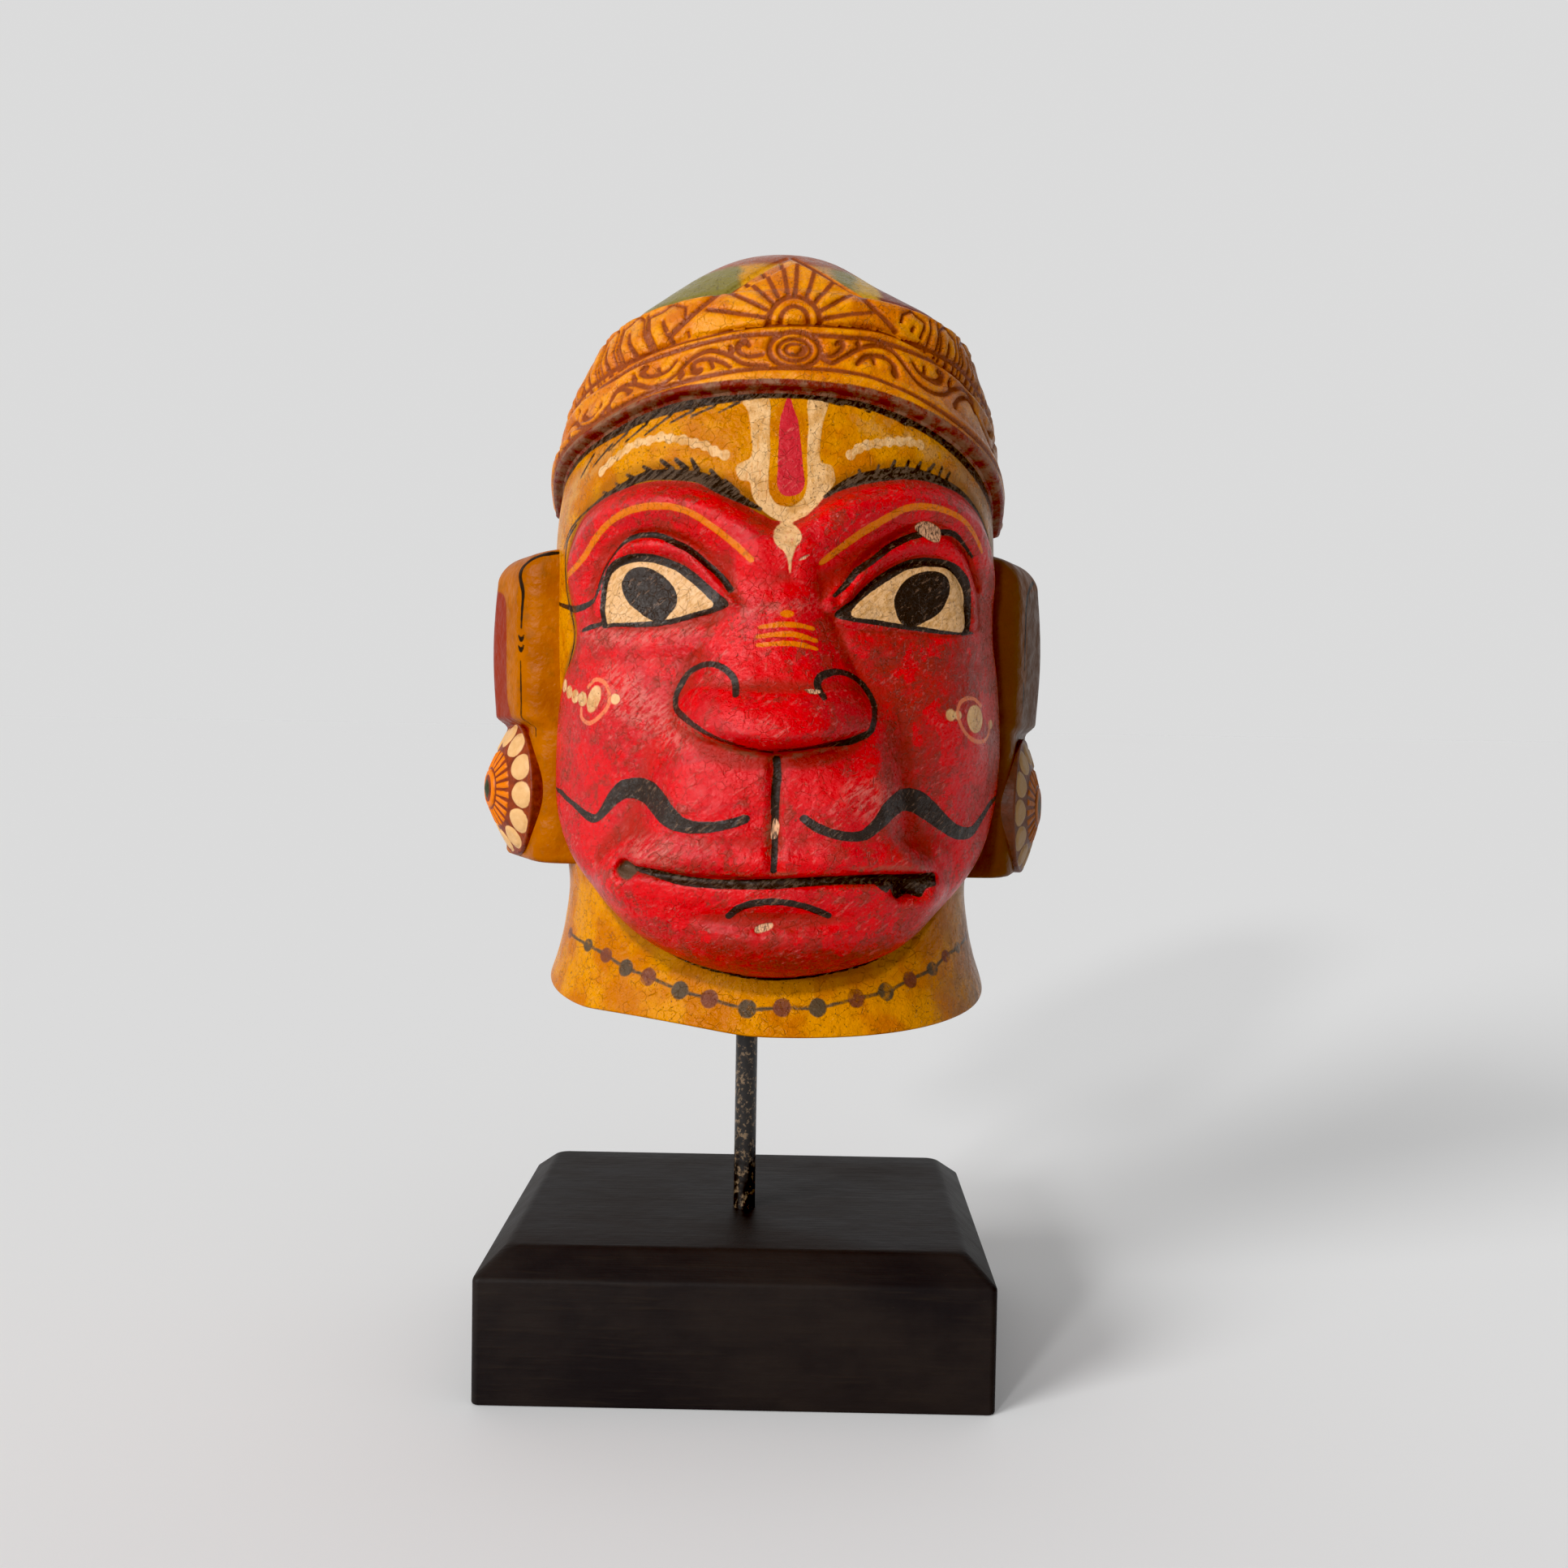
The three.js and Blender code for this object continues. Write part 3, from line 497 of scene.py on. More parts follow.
HAIRLINE = [
    [-119, 156.5, 1.8], [-97, 169, 2], [-84, 172.8, 2.1], [-71.5, 176.8, 2], [-54, 181, 1.9],
    [-39.5, 184.9, 1.9], [-17, 187.9, 1.7], [-2.5, 188.9, 1.3], [15, 188.4, 1.2], [30, 186.7, 1.3],
    [38, 185, 1.3], [55.5, 180, 1.5], [87.5, 166.5, 2], [104, 161, 1.8], [122, 154.5, 1.6],
]
HAIRLINE_HAIRS = [
    [[-12, 186.5, 0.5], [-18.5, 183.5, 0.3]], [[-20, 185.5, 0.5], [-27.5, 182.5, 0.35]],
    [[-27, 184.5, 0.5], [-34.5, 181, 0.35]], [[-34.5, 183.5, 0.5], [-43, 178, 0.35]],
    [[-43, 181.5, 0.5], [-50.5, 176.5, 0.35]], [[-50.5, 179.5, 0.5], [-57.5, 174.5, 0.3]],
    [[-56.5, 176.5, 0.5], [-64.5, 170.5, 0.35]], [[-65.5, 174.5, 0.5], [-71.5, 168, 0.35]],
    [[15, 187.5, 0.5], [21.5, 186, 0.3]], [[24, 187, 0.5], [30, 184.8, 0.3]],
    [[31, 185.8, 0.5], [38.5, 183.6, 0.3]], [[38, 184.3, 0.5], [45, 180.8, 0.3]],
]
LID_LINES = [
    [[-11.5, 131.5, 0.9], [-15, 136, 0.8], [-23.5, 143, 0.85], [-27.5, 145, 0.85], [-33, 147.5, 0.8],
     [-38.5, 148, 0.7], [-42, 147.5, 0.6], [-45.5, 146, 0.5], [-48, 143.5, 0.45], [-52, 139, 0.5],
     [-54, 134, 0.6]],
    [[17.5, 130.5, 0.5], [21, 134, 0.8], [24.5, 138, 0.9], [29.5, 141.5, 0.9], [34, 145, 0.9],
     [39.5, 148, 0.9], [44.5, 149.7, 0.9], [50, 150.8, 0.8], [57.5, 151, 0.7], [62.5, 148.5, 0.4],
     [67, 145, 0.3]],
]
CORNER_LINES = [
    [[-93, 131.5, 0.4], [-76, 128.7, 0.6], [-69, 127.5, 0.9], [-63, 127.5, 0.9], [-57, 129.5, 0.6],
     [-54, 133, 0.5]],
    [[-61.5, 120.5, 0.4], [-57.5, 121.5, 0.7], [-52, 122.5, 0.5]], [[60, 121.5, 0.6], [65.5, 122, 0.3]],
]
# The painted nostril spirals. Their thin tails along the nose's underside are a painted shadow line under the
# nose.
NOSTRILS_AND_NOSE_SHADOW_LINES = [
    [[-9.5, 101.5, 0.85], [-10, 105.5, 0.85], [-12, 108, 0.85], [-15, 109.8, 0.8], [-19, 110, 0.75],
     [-23.5, 108, 0.75], [-26, 104.5, 0.8], [-27.5, 101, 0.8], [-27, 97.5, 0.85], [-24, 95, 0.85],
     [-16.5, 90.5, 0.5], [-10.5, 88, 0.4], [-4.5, 86.3, 0.3], [0, 85.5, 0.3]],
    [[13, 101, 0.7], [11.5, 104, 0.85], [12, 106.5, 1], [14.5, 108, 0.95], [18, 108.5, 0.8],
     [21.5, 107.5, 0.75], [25, 105, 0.75], [27.5, 100.5, 0.8], [27.5, 96.5, 0.8], [26, 92, 0.8],
     [22.5, 90, 0.9], [18.5, 88.6, 0.9], [13, 87.8, 0.5], [7, 86.6, 0.35], [1.5, 86, 0.3]],
]
PHILTRUM_LINE = [[1, 83.5, 0.9], [1.5, 79.5, 0.95], [1.5, 73, 1], [2.4, 60, 0.7], [2.6, 52, 0.7]]
MOUSTACHE_STROKES = [
    [[-86, 74, 0.3], [-76, 72.3, 0.35], [-71, 71.3, 0.7], [-68, 70, 0.6], [-62, 67.8, 0.7], [-57, 65.5, 1],
     [-52.5, 64.3, 1.2], [-49.5, 66.5, 1.5], [-47, 70, 2.1], [-43.5, 73.2, 2.7], [-39, 74, 3],
     [-34, 73, 3.3], [-30, 70.5, 3.2], [-26, 67.2, 2.8], [-22.5, 65, 2.2], [-19, 64, 1.8],
     [-14.5, 64, 1.5], [-9.5, 65, 1.3], [-5.5, 66.5, 1.2]],
    [[9, 67, 1], [12.5, 64.5, 1.2], [16.5, 62.8, 1.2], [20.5, 62, 1.25], [24.5, 62.5, 1.5],
     [28, 65.5, 1.8], [31.5, 69.3, 2.6], [36, 71.8, 3.1], [41, 71.8, 3.3], [45, 70, 3.2],
     [54.5, 63.8, 2.3], [60, 61.5, 2], [66, 61.7, 1.5], [71.5, 65.5, 1.1], [77.5, 69.5, 0.9],
     [84, 71.5, 0.6], [89, 72, 0.3]],
]
# Painted shade: dark patches under both eyes, over the right cheek and the right side of the muzzle, beside
# the right eye and along the lower edge of the jaw.
PAINTED_SHADE_PATCHES = [
    [[26, 122], [60, 123], [90, 123], [92, 100], [90, 80], [80, 74], [64, 84], [52, 78], [50, 62],
     [42, 52], [34, 54], [29, 66], [28, 84], [31, 98]],
    [[60, 138], [74, 142], [86, 134], [84, 120], [66, 119]],
    [[0, 20], [26, 22], [50, 30], [62, 42], [50, 40], [34, 34], [16, 32], [-4, 33], [-20, 34], [-10, 24]],
    [[-74, 118], [-64, 118], [-52, 112], [-60, 106], [-74, 110]],
]
FRESH_PATCHES = [
    [[-33, 47.2], [-24, 46.6], [-15, 46], [-14.5, 41], [-19, 37.6], [-26, 36.8], [-32, 40]],
    [[-58, 66], [-50, 65], [-45, 61], [-42, 54], [-48, 50], [-56, 55]],
    [[60, 91], [67, 91], [72, 86], [73, 78], [67, 76], [62, 80]],
    [[-7, 145], [9, 145], [13, 137], [9, 130], [0, 128.5], [-8, 131], [-10, 138]],
    [[-25, 80], [-16, 83], [-7, 82], [-5, 74], [-14, 70], [-25, 72]],
    [[6, 82], [17, 81], [20, 74], [12, 70], [5, 72]],
    [[-62, 115], [-59, 116], [-57, 111], [-61, 108.5], [-64, 111]],
    [[74, 102], [78, 104], [79, 101], [76, 99]], [[-8, 98], [8, 99], [12, 93], [2, 90], [-9, 92]],
]
# Painted shade: dark lines under the nose, along the crease over the mouth and in the philtrum's groove.
CREASE_AND_NOSE_SHADE_LINES = [
    [[-25, 92.5, 0.6], [-21, 91.3, 1], [-16.5, 88.8, 0.9], [-10.5, 86.4, 0.8], [-4.5, 84.7, 0.9],
     [0, 84, 1], [14, 86.4, 0.6], [19, 87, 0.4]],
    [[-32, 53.6, 0.3], [-14, 50.6, 0.35], [14, 51.6, 0.4], [24, 52.6, 0.5], [34, 52.8, 0.5],
     [44, 52.4, 0.4]],
    [[0.6, 68, 0.9], [0.9, 62, 1.3], [1.8, 57, 0.8]],
]
PALE_RUBS = [
    [[-50, 112], [-38, 104], [-26, 96], [-20, 88], [-28, 86], [-40, 92], [-52, 100]],
    [[-60, 118], [-44, 116], [-26, 118], [-14, 122], [-16, 126], [-34, 121], [-58, 122]],
    [[-40, 62], [-28, 60], [-20, 57], [-24, 53], [-36, 55]],
    [[-14, 127.5], [-4, 126.5], [14, 127.5], [6, 125], [-6, 124.5]],
    [[20, 78], [32, 76], [36, 68], [28, 66], [20, 70]],
]
MOUTH_STROKE = [
    [-33.5, 51, 0.8], [-29.5, 50.5, 1.1], [-20, 48.3, 1.4], [-10, 47.6, 1.3], [2, 48, 1.5],
    [15.5, 49, 1.3], [29, 49.4, 1.5], [46, 48.8, 1.6],
]
MOUTH_HOLE = [
    [27, 50], [34, 50.5], [47.5, 50.4], [47.5, 47], [44.5, 46.2], [42.5, 43.4], [39, 44.4], [35, 43.4],
    [33, 46.4], [31.5, 45.4],
]
MOUTH_PIT = [[-39.5, 50.5], [-37.5, 53], [-34.5, 52.5], [-33, 50.5], [-34.5, 47.8], [-37.5, 48]]
CHIN_STROKE = [
    [-8.5, 38.3, 0.8], [-5.5, 41, 0.95], [-1, 42.6, 0.95], [4, 42.9, 0.85], [9.5, 42, 0.8],
    [13.5, 40.5, 0.9], [17, 38.8, 0.8],
]
FACE_EDGE_STROKE = [
    [-70, 153.5, 0.4], [-77, 148.5, 0.5], [-78, 141, 0.5], [-76, 133, 0.4], [-71, 124, 0.4],
    [-70, 117.5, 0.4], [-77, 107, 0.35], [-84, 92, 0.35], [-81.5, 70, 0.4], [-68, 50, 0.45],
    [-48.5, 34, 0.4], [-25, 21.8, 0.35], [-8, 17.8, 0.45], [4, 17, 0.6], [20, 18.5, 0.45], [36, 22.3, 0.4],
    [52, 30, 0.3], [60, 35, 0.2],
]
EYE_LINERS = [
    [[-53, 121.5], [-53.5, 127.5], [-53, 134], [-51.5, 138], [-49, 140.5], [-45.5, 142], [-41, 142.7],
     [-34, 142], [-24.5, 138.3], [-15.5, 131], [-12, 127.8], [-12.7, 126.2], [-18, 124.7], [-29.5, 121.8],
     [-38.5, 121], [-47.5, 121.3]],
    [[17.5, 124.5], [19, 127], [22.5, 129.5], [26.5, 133.5], [32.5, 138], [38, 141], [44.5, 143],
     [52, 143.3], [58, 142.3], [62, 140], [64.5, 137], [65, 132.5], [64.5, 127], [63.5, 122], [59, 121],
     [47, 121], [24, 123]],
]
EYE_WHITES = [
    [[-51.2, 123], [-51.7, 132], [-50.5, 136], [-48, 138.5], [-43.5, 140], [-39, 140.2], [-34, 139.5],
     [-28, 137.3], [-23, 133.7], [-18.5, 129.8], [-16.5, 127], [-21, 125.5], [-32, 123], [-48, 122.5]],
    [[22, 125], [26.5, 130.5], [38, 138], [44, 140], [50.5, 140.8], [56, 140.2], [60, 137.5],
     [62.3, 133.5], [62, 128.5], [60.8, 122.3], [52.5, 122], [29.5, 124]],
]
IRISES = [
    [[-46, 133.5], [-44, 137.3], [-40, 138.8], [-35, 137.7], [-30.5, 134.7], [-27.7, 131], [-27.5, 127.5],
     [-29.5, 125], [-32, 122.5], [-35.5, 123], [-39.5, 125.5], [-43.5, 128.5]],
    [[35.5, 129], [37, 133], [40.5, 136.7], [45.5, 138.8], [50.5, 139.5], [54.7, 138], [56, 135],
     [54.5, 131.3], [51.5, 127.5], [46, 124.3], [41, 122.5], [37, 124]],
]
FOREHEAD_MARK = [
    [-11, 187], [-9, 183.5], [-7.6, 177.5], [-6.8, 170.7], [-10, 168.5], [-11.5, 167], [-10, 163.7],
    [-7, 163], [-6, 159], [-4, 156], [-0.5, 153], [4.5, 151.3], [8.5, 152.7], [11.5, 155], [17.5, 162.5],
    [18, 165.5], [17, 168.3], [13.8, 169.3], [13.6, 175], [14.8, 182], [16.3, 187], [10, 187.8],
    [10, 179.5], [9.7, 170.5], [10, 164], [9, 159], [6, 156.3], [3.5, 156], [0.5, 157.3], [-1.5, 161.5],
    [-1.5, 170.5], [-2, 179], [-3, 187.8],
]
CRIMSON_STRIPE = [
    [3.5, 188.5], [5.3, 184.5], [7, 179.5], [8.5, 167.5], [9, 162.5], [7.5, 159.7], [4, 159], [2, 160],
    [0.9, 163], [1, 167.5], [1, 180], [2, 184.5],
]
PEARL_ARCS = [
    [[-15, 170.8], [-18.5, 172], [-21.5, 173.7], [-25, 174.5], [-29, 175.7], [-33.5, 176.3], [-37, 177],
     [-41, 176.2], [-45.3, 175.8], [-49, 174.5], [-52, 172.8], [-55.5, 171], [-59, 168.5]],
    [[23, 171.7], [25.5, 173.7], [28.5, 175], [32, 175.7], [35.7, 176.5], [39.5, 177], [43.5, 177.2],
     [47.5, 176.8]],
]
TEMPLE_PALE = [
    [[-50, 176], [-58, 172], [-74, 159], [-90, 138], [-98, 128], [-104, 134], [-98, 148], [-88, 160],
     [-76, 169], [-62, 175.5]],
    [[24, 184], [42, 182], [66, 173], [92, 160], [106, 152], [112, 140], [104, 128], [94, 134], [91, 146],
     [82, 157], [70, 164.5], [40, 175.5], [29, 178]],
]
FOREHEAD_DROP = [
    [3.7, 151.8], [6, 150.7], [8, 147.8], [8, 145.3], [6.5, 143], [5.6, 140], [5, 136], [4.4, 139.5],
    [3.5, 142], [1.2, 144], [0.5, 146.8], [1.2, 149.8],
]
CHEEK_OVALS = [[-55.3, 100, 2.6, 4.3, -0.45], [64, 96, 4.1, 4.2, 0.0]]
CHEEK_RINGS = [
    [[-58, 103.5], [-55, 105.7], [-51.5, 105], [-49.3, 102], [-49.5, 98], [-53, 94.5], [-57, 92.8],
     [-60.5, 94.3], [-61, 97]],
    [[67.5, 100], [64.5, 101.7], [61, 102.2], [57.5, 101], [55.8, 98], [56.7, 94.8], [59.3, 91.5],
     [64, 89.3], [69.5, 89.5], [72.7, 92], [72.5, 95]],
]
CHEEK_PEARLS = [
    [-60.6, 100, 2.2], [-64.6, 100.8, 2.1], [-68.6, 102.2, 2], [-72.6, 104.2, 2], [-76.4, 106.6, 1.8],
    [-47, 100, 1.6], [53, 97, 1.8], [56, 97, 1.4], [74.3, 94.5, 1.4],
]
OCHRE_STROKES = [
    [[-75.5, 136.5, 0.6], [-67, 138.5, 0.8], [-61, 142, 0.9], [-56, 147, 0.9], [-51.5, 150.7, 0.85],
     [-45.5, 153.8, 0.85], [-39.5, 155.3, 0.9], [-33.5, 155.6, 0.9], [-27.5, 154.9, 0.8],
     [-21.5, 152.5, 0.75], [-15.5, 148.5, 0.75], [-10.5, 144.5, 0.8], [-5.5, 139.8, 0.8]],
    [[13.5, 139.3, 0.4], [15.5, 141, 0.7], [26, 149, 0.9], [37, 155.5, 0.8], [41.5, 157, 0.85],
     [47, 157.6, 0.85], [54, 157, 0.7], [61.5, 155, 0.7], [67.5, 151, 0.7], [71.5, 147, 0.6]],
    [[-3.5, 120.6, 0.4], [2.5, 121.5, 0.65], [7, 121.4, 0.6], [11, 120.5, 0.4]],
    [[-4, 117.9, 0.4], [2.5, 118.8, 0.7], [7, 118.5, 0.65], [11.7, 117.1, 0.4]],
    [[-4, 115.5, 0.4], [2.5, 116.1, 0.6], [7, 115.9, 0.6], [11.7, 114.8, 0.4]],
]
NOSE_DOT = [3.9, 124.6, 1.9, 1.1]
CHIPS = [
    [[43, 152.3], [46, 153.6], [51, 152.7], [52.7, 151], [51.3, 148], [48, 148.2], [44.5, 150]],
    [[7, 139.6], [8.5, 140.9], [10.7, 141.7], [8.8, 140.2]],
    [[8, 103.3], [12.5, 102.9], [11, 102], [9, 102.2]],
    [[-2, 34.5], [-1, 35.7], [2.5, 36.5], [2.5, 35], [-1, 33.5]],
    [[1.8, 67], [3.2, 65], [2.7, 61.5], [1.3, 61], [1.2, 64]],
]
NECKLACE = [
    [-83, 25.3], [-66, 23.1], [-55.4, 21], [-46, 17.9], [-37, 15.9], [-25.6, 12.6], [-16, 10.6],
    [-4.3, 8.1], [6, 8.6], [16.8, 8.6], [29, 11], [39.4, 12.6], [49.2, 15.6], [60, 18.1], [68.6, 21.4],
    [78.7, 23.2], [93, 25.5],
]
BEAD_RADIUS = 2.76
NECKLACE_THREAD = 0.5
PEARL_RADIUS = 1.6
PEARL_THREAD = 1.0
CHEEK_RING_WIDTH = 0.62

# Each layer of the face's paint: its brush strokes, its filled outlines and what the strokes gain in width

FACE_LAYERS = {
    "ink": (
        LID_LINES + CORNER_LINES + NOSTRILS_AND_NOSE_SHADOW_LINES + MOUSTACHE_STROKES + [PHILTRUM_LINE, CHIN_STROKE],
        EYE_LINERS, BRUSH_GAIN,
    ),
    "hair": ([HAIRLINE] + BROW_STROKES + HAIRLINE_HAIRS + BROW_HAIRS, [], 0),
    "gap": ([MOUTH_STROKE], [MOUTH_HOLE], 0),
    "pit": ([], [MOUTH_PIT], 0),
    "white": ([], EYE_WHITES, 0),
    "iris": ([], IRISES, 0),
    "cream": ([], [FOREHEAD_MARK, FOREHEAD_DROP], 0),
    "crimson": ([], [CRIMSON_STRIPE], 0),
    "ochre": (OCHRE_STROKES, [], BRUSH_GAIN),
    "pale": ([], TEMPLE_PALE, 0),
    "shade_patches": ([], PAINTED_SHADE_PATCHES, 0),
    "rub": ([], PALE_RUBS, 0),
    "patch": ([], FRESH_PATCHES, 0),
    "painted_shade": (CREASE_AND_NOSE_SHADE_LINES, [], 0),
    "chip": ([], CHIPS, 0),
    "rings": ([], [], 0),
    "bead_dark": ([], [], 0),
    "bead_maroon": ([], [], 0),
}

# The cut lines of the crown. Those of the frieze and the ribs are in u and z.

FRIEZE_STEMS = [
    [[-4, 196.6], [-11.5, 197.4], [-16.7, 200], [-23.4, 202], [-28.6, 200.8], [-32, 198], [-34, 194.6],
     [-37.5, 192], [-42.2, 191.6], [-49, 193.5], [-54.9, 193.8], [-58.4, 192], [-58.3, 187.5],
     [-60.5, 184.3], [-66, 182.6], [-72.9, 183.4], [-80, 186], [-86, 186], [-91, 183], [-94, 178]],
    [[12.9, 200], [16.9, 198.3], [20, 199.6], [27.9, 203.9], [33.5, 205.3], [38.2, 204.9], [42.1, 202.6],
     [46.9, 196.1], [49.8, 194], [54, 192.8], [59.3, 193.3], [65, 195.7], [70.3, 197], [74.8, 195.8],
     [77.3, 193], [80, 187], [85, 182], [91, 181], [97, 184], [103, 185]],
]
FRIEZE_LEAVES = [
    [[-10.8, 203.2, 0.5], [-12.8, 204.3, 0.8], [-14.8, 203, 1], [-13.6, 200.9, 0.6], [-10, 199.7, 0.5],
     [-5.8, 200.3, 0.45]],
    [[-25.9, 195.4, 1.2], [-27.8, 195.7, 0.9], [-28.9, 197.4, 0.7], [-27.8, 199, 0.6], [-23.5, 199.3, 0.5],
     [-19, 198, 0.5], [-15.7, 196.3, 0.4]],
    [[-47.3, 198.4, 0.8], [-49.1, 197.3, 0.9], [-46, 195.7, 0.6], [-41.4, 195.6, 0.5],
     [-37.7, 196.7, 0.45], [-35.8, 199.6, 0.4]],
    [[-56.3, 186, 1], [-57.7, 189.2, 0.7], [-56.8, 192, 0.5], [-53.9, 192.6, 0.5], [-49.5, 190.8, 0.9]],
    [[-72.3, 188.4, 0.7], [-74.2, 187, 0.8], [-67.5, 185, 0.6], [-63, 186, 0.5], [-63.5, 189.5, 0.4]],
    [[-88, 177.5, 1], [-87, 181, 0.6], [-82, 182.5, 0.5], [-77, 180.5, 0.7]],
    [[13.2, 200.8, 0.45], [17, 200.4, 0.5], [20, 202.2, 0.6], [21.5, 204.3, 0.8], [20.3, 205.2, 0.8],
     [19, 204.3, 0.5]],
    [[25.7, 198.5, 0.4], [28.7, 200.9, 0.6], [33, 201.9, 0.6], [37, 201.5, 0.6], [39.5, 199.5, 0.8],
     [39.3, 196.9, 1.4]],
    [[48.2, 201.4, 0.4], [49.8, 198.8, 0.6], [53.8, 197, 0.7], [57.8, 196.9, 0.9], [61, 199, 0.9],
     [59, 200.6, 0.6]],
    [[62.9, 190.2, 0.9], [66.2, 192.6, 0.6], [71, 194.2, 0.6], [74.5, 194.3, 0.5], [76.5, 191, 0.9]],
    [[85, 189, 0.5], [88, 186.3, 0.7], [93, 187, 0.9]],
]
FRIEZE_BUDS = [
    [[-17.4, 203, 0.5], [-16.7, 201, 1]], [[-32.6, 196, 0.5], [-31.5, 194.3, 1.1]],
    [[-52.1, 196.4, 0.6], [-50.3, 194.6, 0.9]], [[-23.3, 198.9, 0.5], [-21.6, 196.3, 0.4]],
    [[-42, 197.7, 0.4], [-40.7, 196, 0.5]], [[-79, 189.5, 0.5], [-79, 187, 0.8]],
    [[27, 205.2, 0.9], [27.6, 203.7, 0.6]], [[32, 201.5, 0.5], [32, 199.3, 0.4]],
    [[64.6, 198.6, 0.5], [63.7, 196, 0.9]], [[53, 200.9, 0.4], [52.2, 198.8, 0.6]],
]
BAND_LINES = [
    [[-122, 176], [-97, 187.5], [-86, 192], [-63, 196], [-54, 198.9], [-44.6, 201], [-13, 206.2],
     [22, 206.7], [33.5, 206.8], [51.5, 204], [78, 198.8], [122, 181]],
    [[-122, 179.5], [-97, 191], [-83, 195.8], [-55, 202.3], [-28.6, 206.4], [-16, 208.8], [-4, 209.9],
     [28.5, 210.4], [42.5, 209.3], [64, 205.7], [77, 202.8], [98, 194.5], [122, 184]],
    [[-122, 164], [-97, 173.5], [-60, 184.2], [-40, 190.3], [-20, 194], [-4, 195.7], [21, 195.7],
     [36, 193], [61, 184.5], [122, 162]],
]
BAND_LINE_WIDTH = 0.7
STEM_WIDTH = 0.75
RIB_WIDTH = 0.55
RIB_BAR_WIDTH = 0.5
LINE_GAIN = 0.2
RIB_TOP_GAP = 3.4
RIB_ARCH = 1.6
RIB_BAR_GAP = 2.0
CUT_DEPTH = 0.7
CUT_SHOULDER = 0.35

# Where the ribs of the crown stand. A loop has u at its left foot and top and its right foot and top, and
# a bar between two loops has u at its foot and top.

RIB_LOOPS = [
    [-46.5, -53, -34, -37.5], [-59.5, -66, -48.5, -55.5], [-70, -77, -62.5, -69.5],
    [-82, -89, -73.5, -80.5], [-95, -102, -86, -93], [-108, -115, -99, -106], [43, 43.5, 52, 53.5],
    [62, 61.5, 69.5, 70.5], [74, 75, 81, 83], [86, 88, 94, 97], [99, 102, 107, 111],
]
RIB_BARS = [
    [-47.7, -54.5], [-61, -67.8], [-71.8, -79], [-84, -91], [-97, -104], [55.8, 56.5], [60, 60.5],
    [72, 73], [83.8, 85.5], [96.5, 99.5],
]

# The crest, the medallion and the dome behind are drawn straight on: in x and z

CREST_BORDERS = [
    [[-33, 208.5], [-21, 219.5], [-7, 233], [0, 239.6]],
    [[2.6, 240], [16.6, 227], [23, 220.7], [33.5, 210.7]],
]
CREST_SPOKES = [
    [[1.4, 219.3], [-1.4, 237]], [[-1.6, 219], [-6.9, 231.5]], [[-3.3, 217], [-11.6, 226.5]],
    [[-4.9, 214.6], [-17, 221.5]], [[-5.5, 212], [-22.5, 215.3]], [[3.4, 219.3], [4, 235]],
    [[6.7, 218.6], [9.4, 230.5]], [[9.3, 217.3], [14.6, 225.3]], [[11, 214.5], [20, 221]],
    [[11.6, 212.1], [26.5, 215.7]],
]
CREST_BORDER_WIDTH = 0.85
CREST_SPOKE_WIDTH = 0.7
CREST_RING_AT = [3.3, 210.2]
CREST_RINGS = [[7.6, 9.0, 0.85], [4.2, 5.6, 0.75]]
MEDALLION = [3.6, 201.9]
MEDALLION_RINGS = [[7.5, 5.6, 0.85], [4.8, 3.5, 0.6]]
MEDALLION_CURL = [
    [5.6, 203.6, 0.35], [2.6, 203.7, 0.5], [0.9, 202.2, 0.6], [1.6, 200.7, 0.5], [3.6, 200.2, 0.5],
    [5.6, 200.9, 1.1], [6.4, 202.4, 1.2],
]

# Grids of points and meshes


def add_mesh(name, points, faces, fields=None):
    """Makes a mesh object from points in millimetres, with its paint fields as attributes."""
    mesh = bpy.data.meshes.new(name)
    mesh.vertices.add(len(points))
    mesh.vertices.foreach_set("co", (np.asarray(points) * MM).ravel())
    sizes = [len(face) for face in faces]
    mesh.loops.add(sum(sizes))
    mesh.loops.foreach_set("vertex_index", np.concatenate([np.asarray(face) for face in faces]))
    mesh.polygons.add(len(faces))
    mesh.polygons.foreach_set("loop_start", np.concatenate([[0], np.cumsum(sizes)[:-1]]))
    mesh.polygons.foreach_set("use_smooth", np.full(len(faces), True))
    mesh.update(calc_edges=True)
    mesh.validate()
    for field, values in (fields or {}).items():
        attribute = mesh.attributes.new(field, "FLOAT", "POINT")
        attribute.data.foreach_set("value", np.ravel(values).astype(np.float32))
    made = bpy.data.objects.new(name, mesh)
    bpy.context.collection.objects.link(made)
    return made


def grid_faces(rows, columns, closed=False, flip=False):
    """Four-cornered faces between neighbouring rows and columns of points."""
    gaps = columns if closed else columns - 1
    lower, left = np.meshgrid(np.arange(rows - 1) * columns, np.arange(gaps), indexing="ij")
    right = (left + 1) % columns
    upper = lower + columns
    corners = [lower + left, lower + right, upper + right, upper + left]
    faces = np.stack([corner.ravel() for corner in corners], -1)
    return faces[:, ::-1] if flip else faces


def finish_piece(piece, material, slot, *replaced):
    piece.data.materials.append(material)
    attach(piece, "root")
    if replaced:
        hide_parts(*replaced)


FINE = 1.0
columns = steps(0, [[84, int(153 / FINE)], [U_MAX - 2, int(28 / FINE)], [U_MAX - 0.4, 4], [U_MAX, 2]])
columns = np.concatenate([-columns[:0:-1], columns])
low_rows = steps(0, [[1, 3], [HOLLOW_FLOOR, int(50 / FINE)], [RIM_Z, int(210 / FINE)]])
high_rows = steps(RIM_Z, [[CREST_TOP_Z, int(92 / FINE)], [TOP_Z - 0.3, int(24 / FINE)]])
NECK_EDGE = 0.9


def cut_heights():
    """The height of the neck's cut edge at each column."""
    heights = np.zeros(len(columns))
    for _ in range(12):
        edge = mask_point(columns, heights)
        heights = neck_cut(edge[:, 0], edge[:, 1])
    return heights


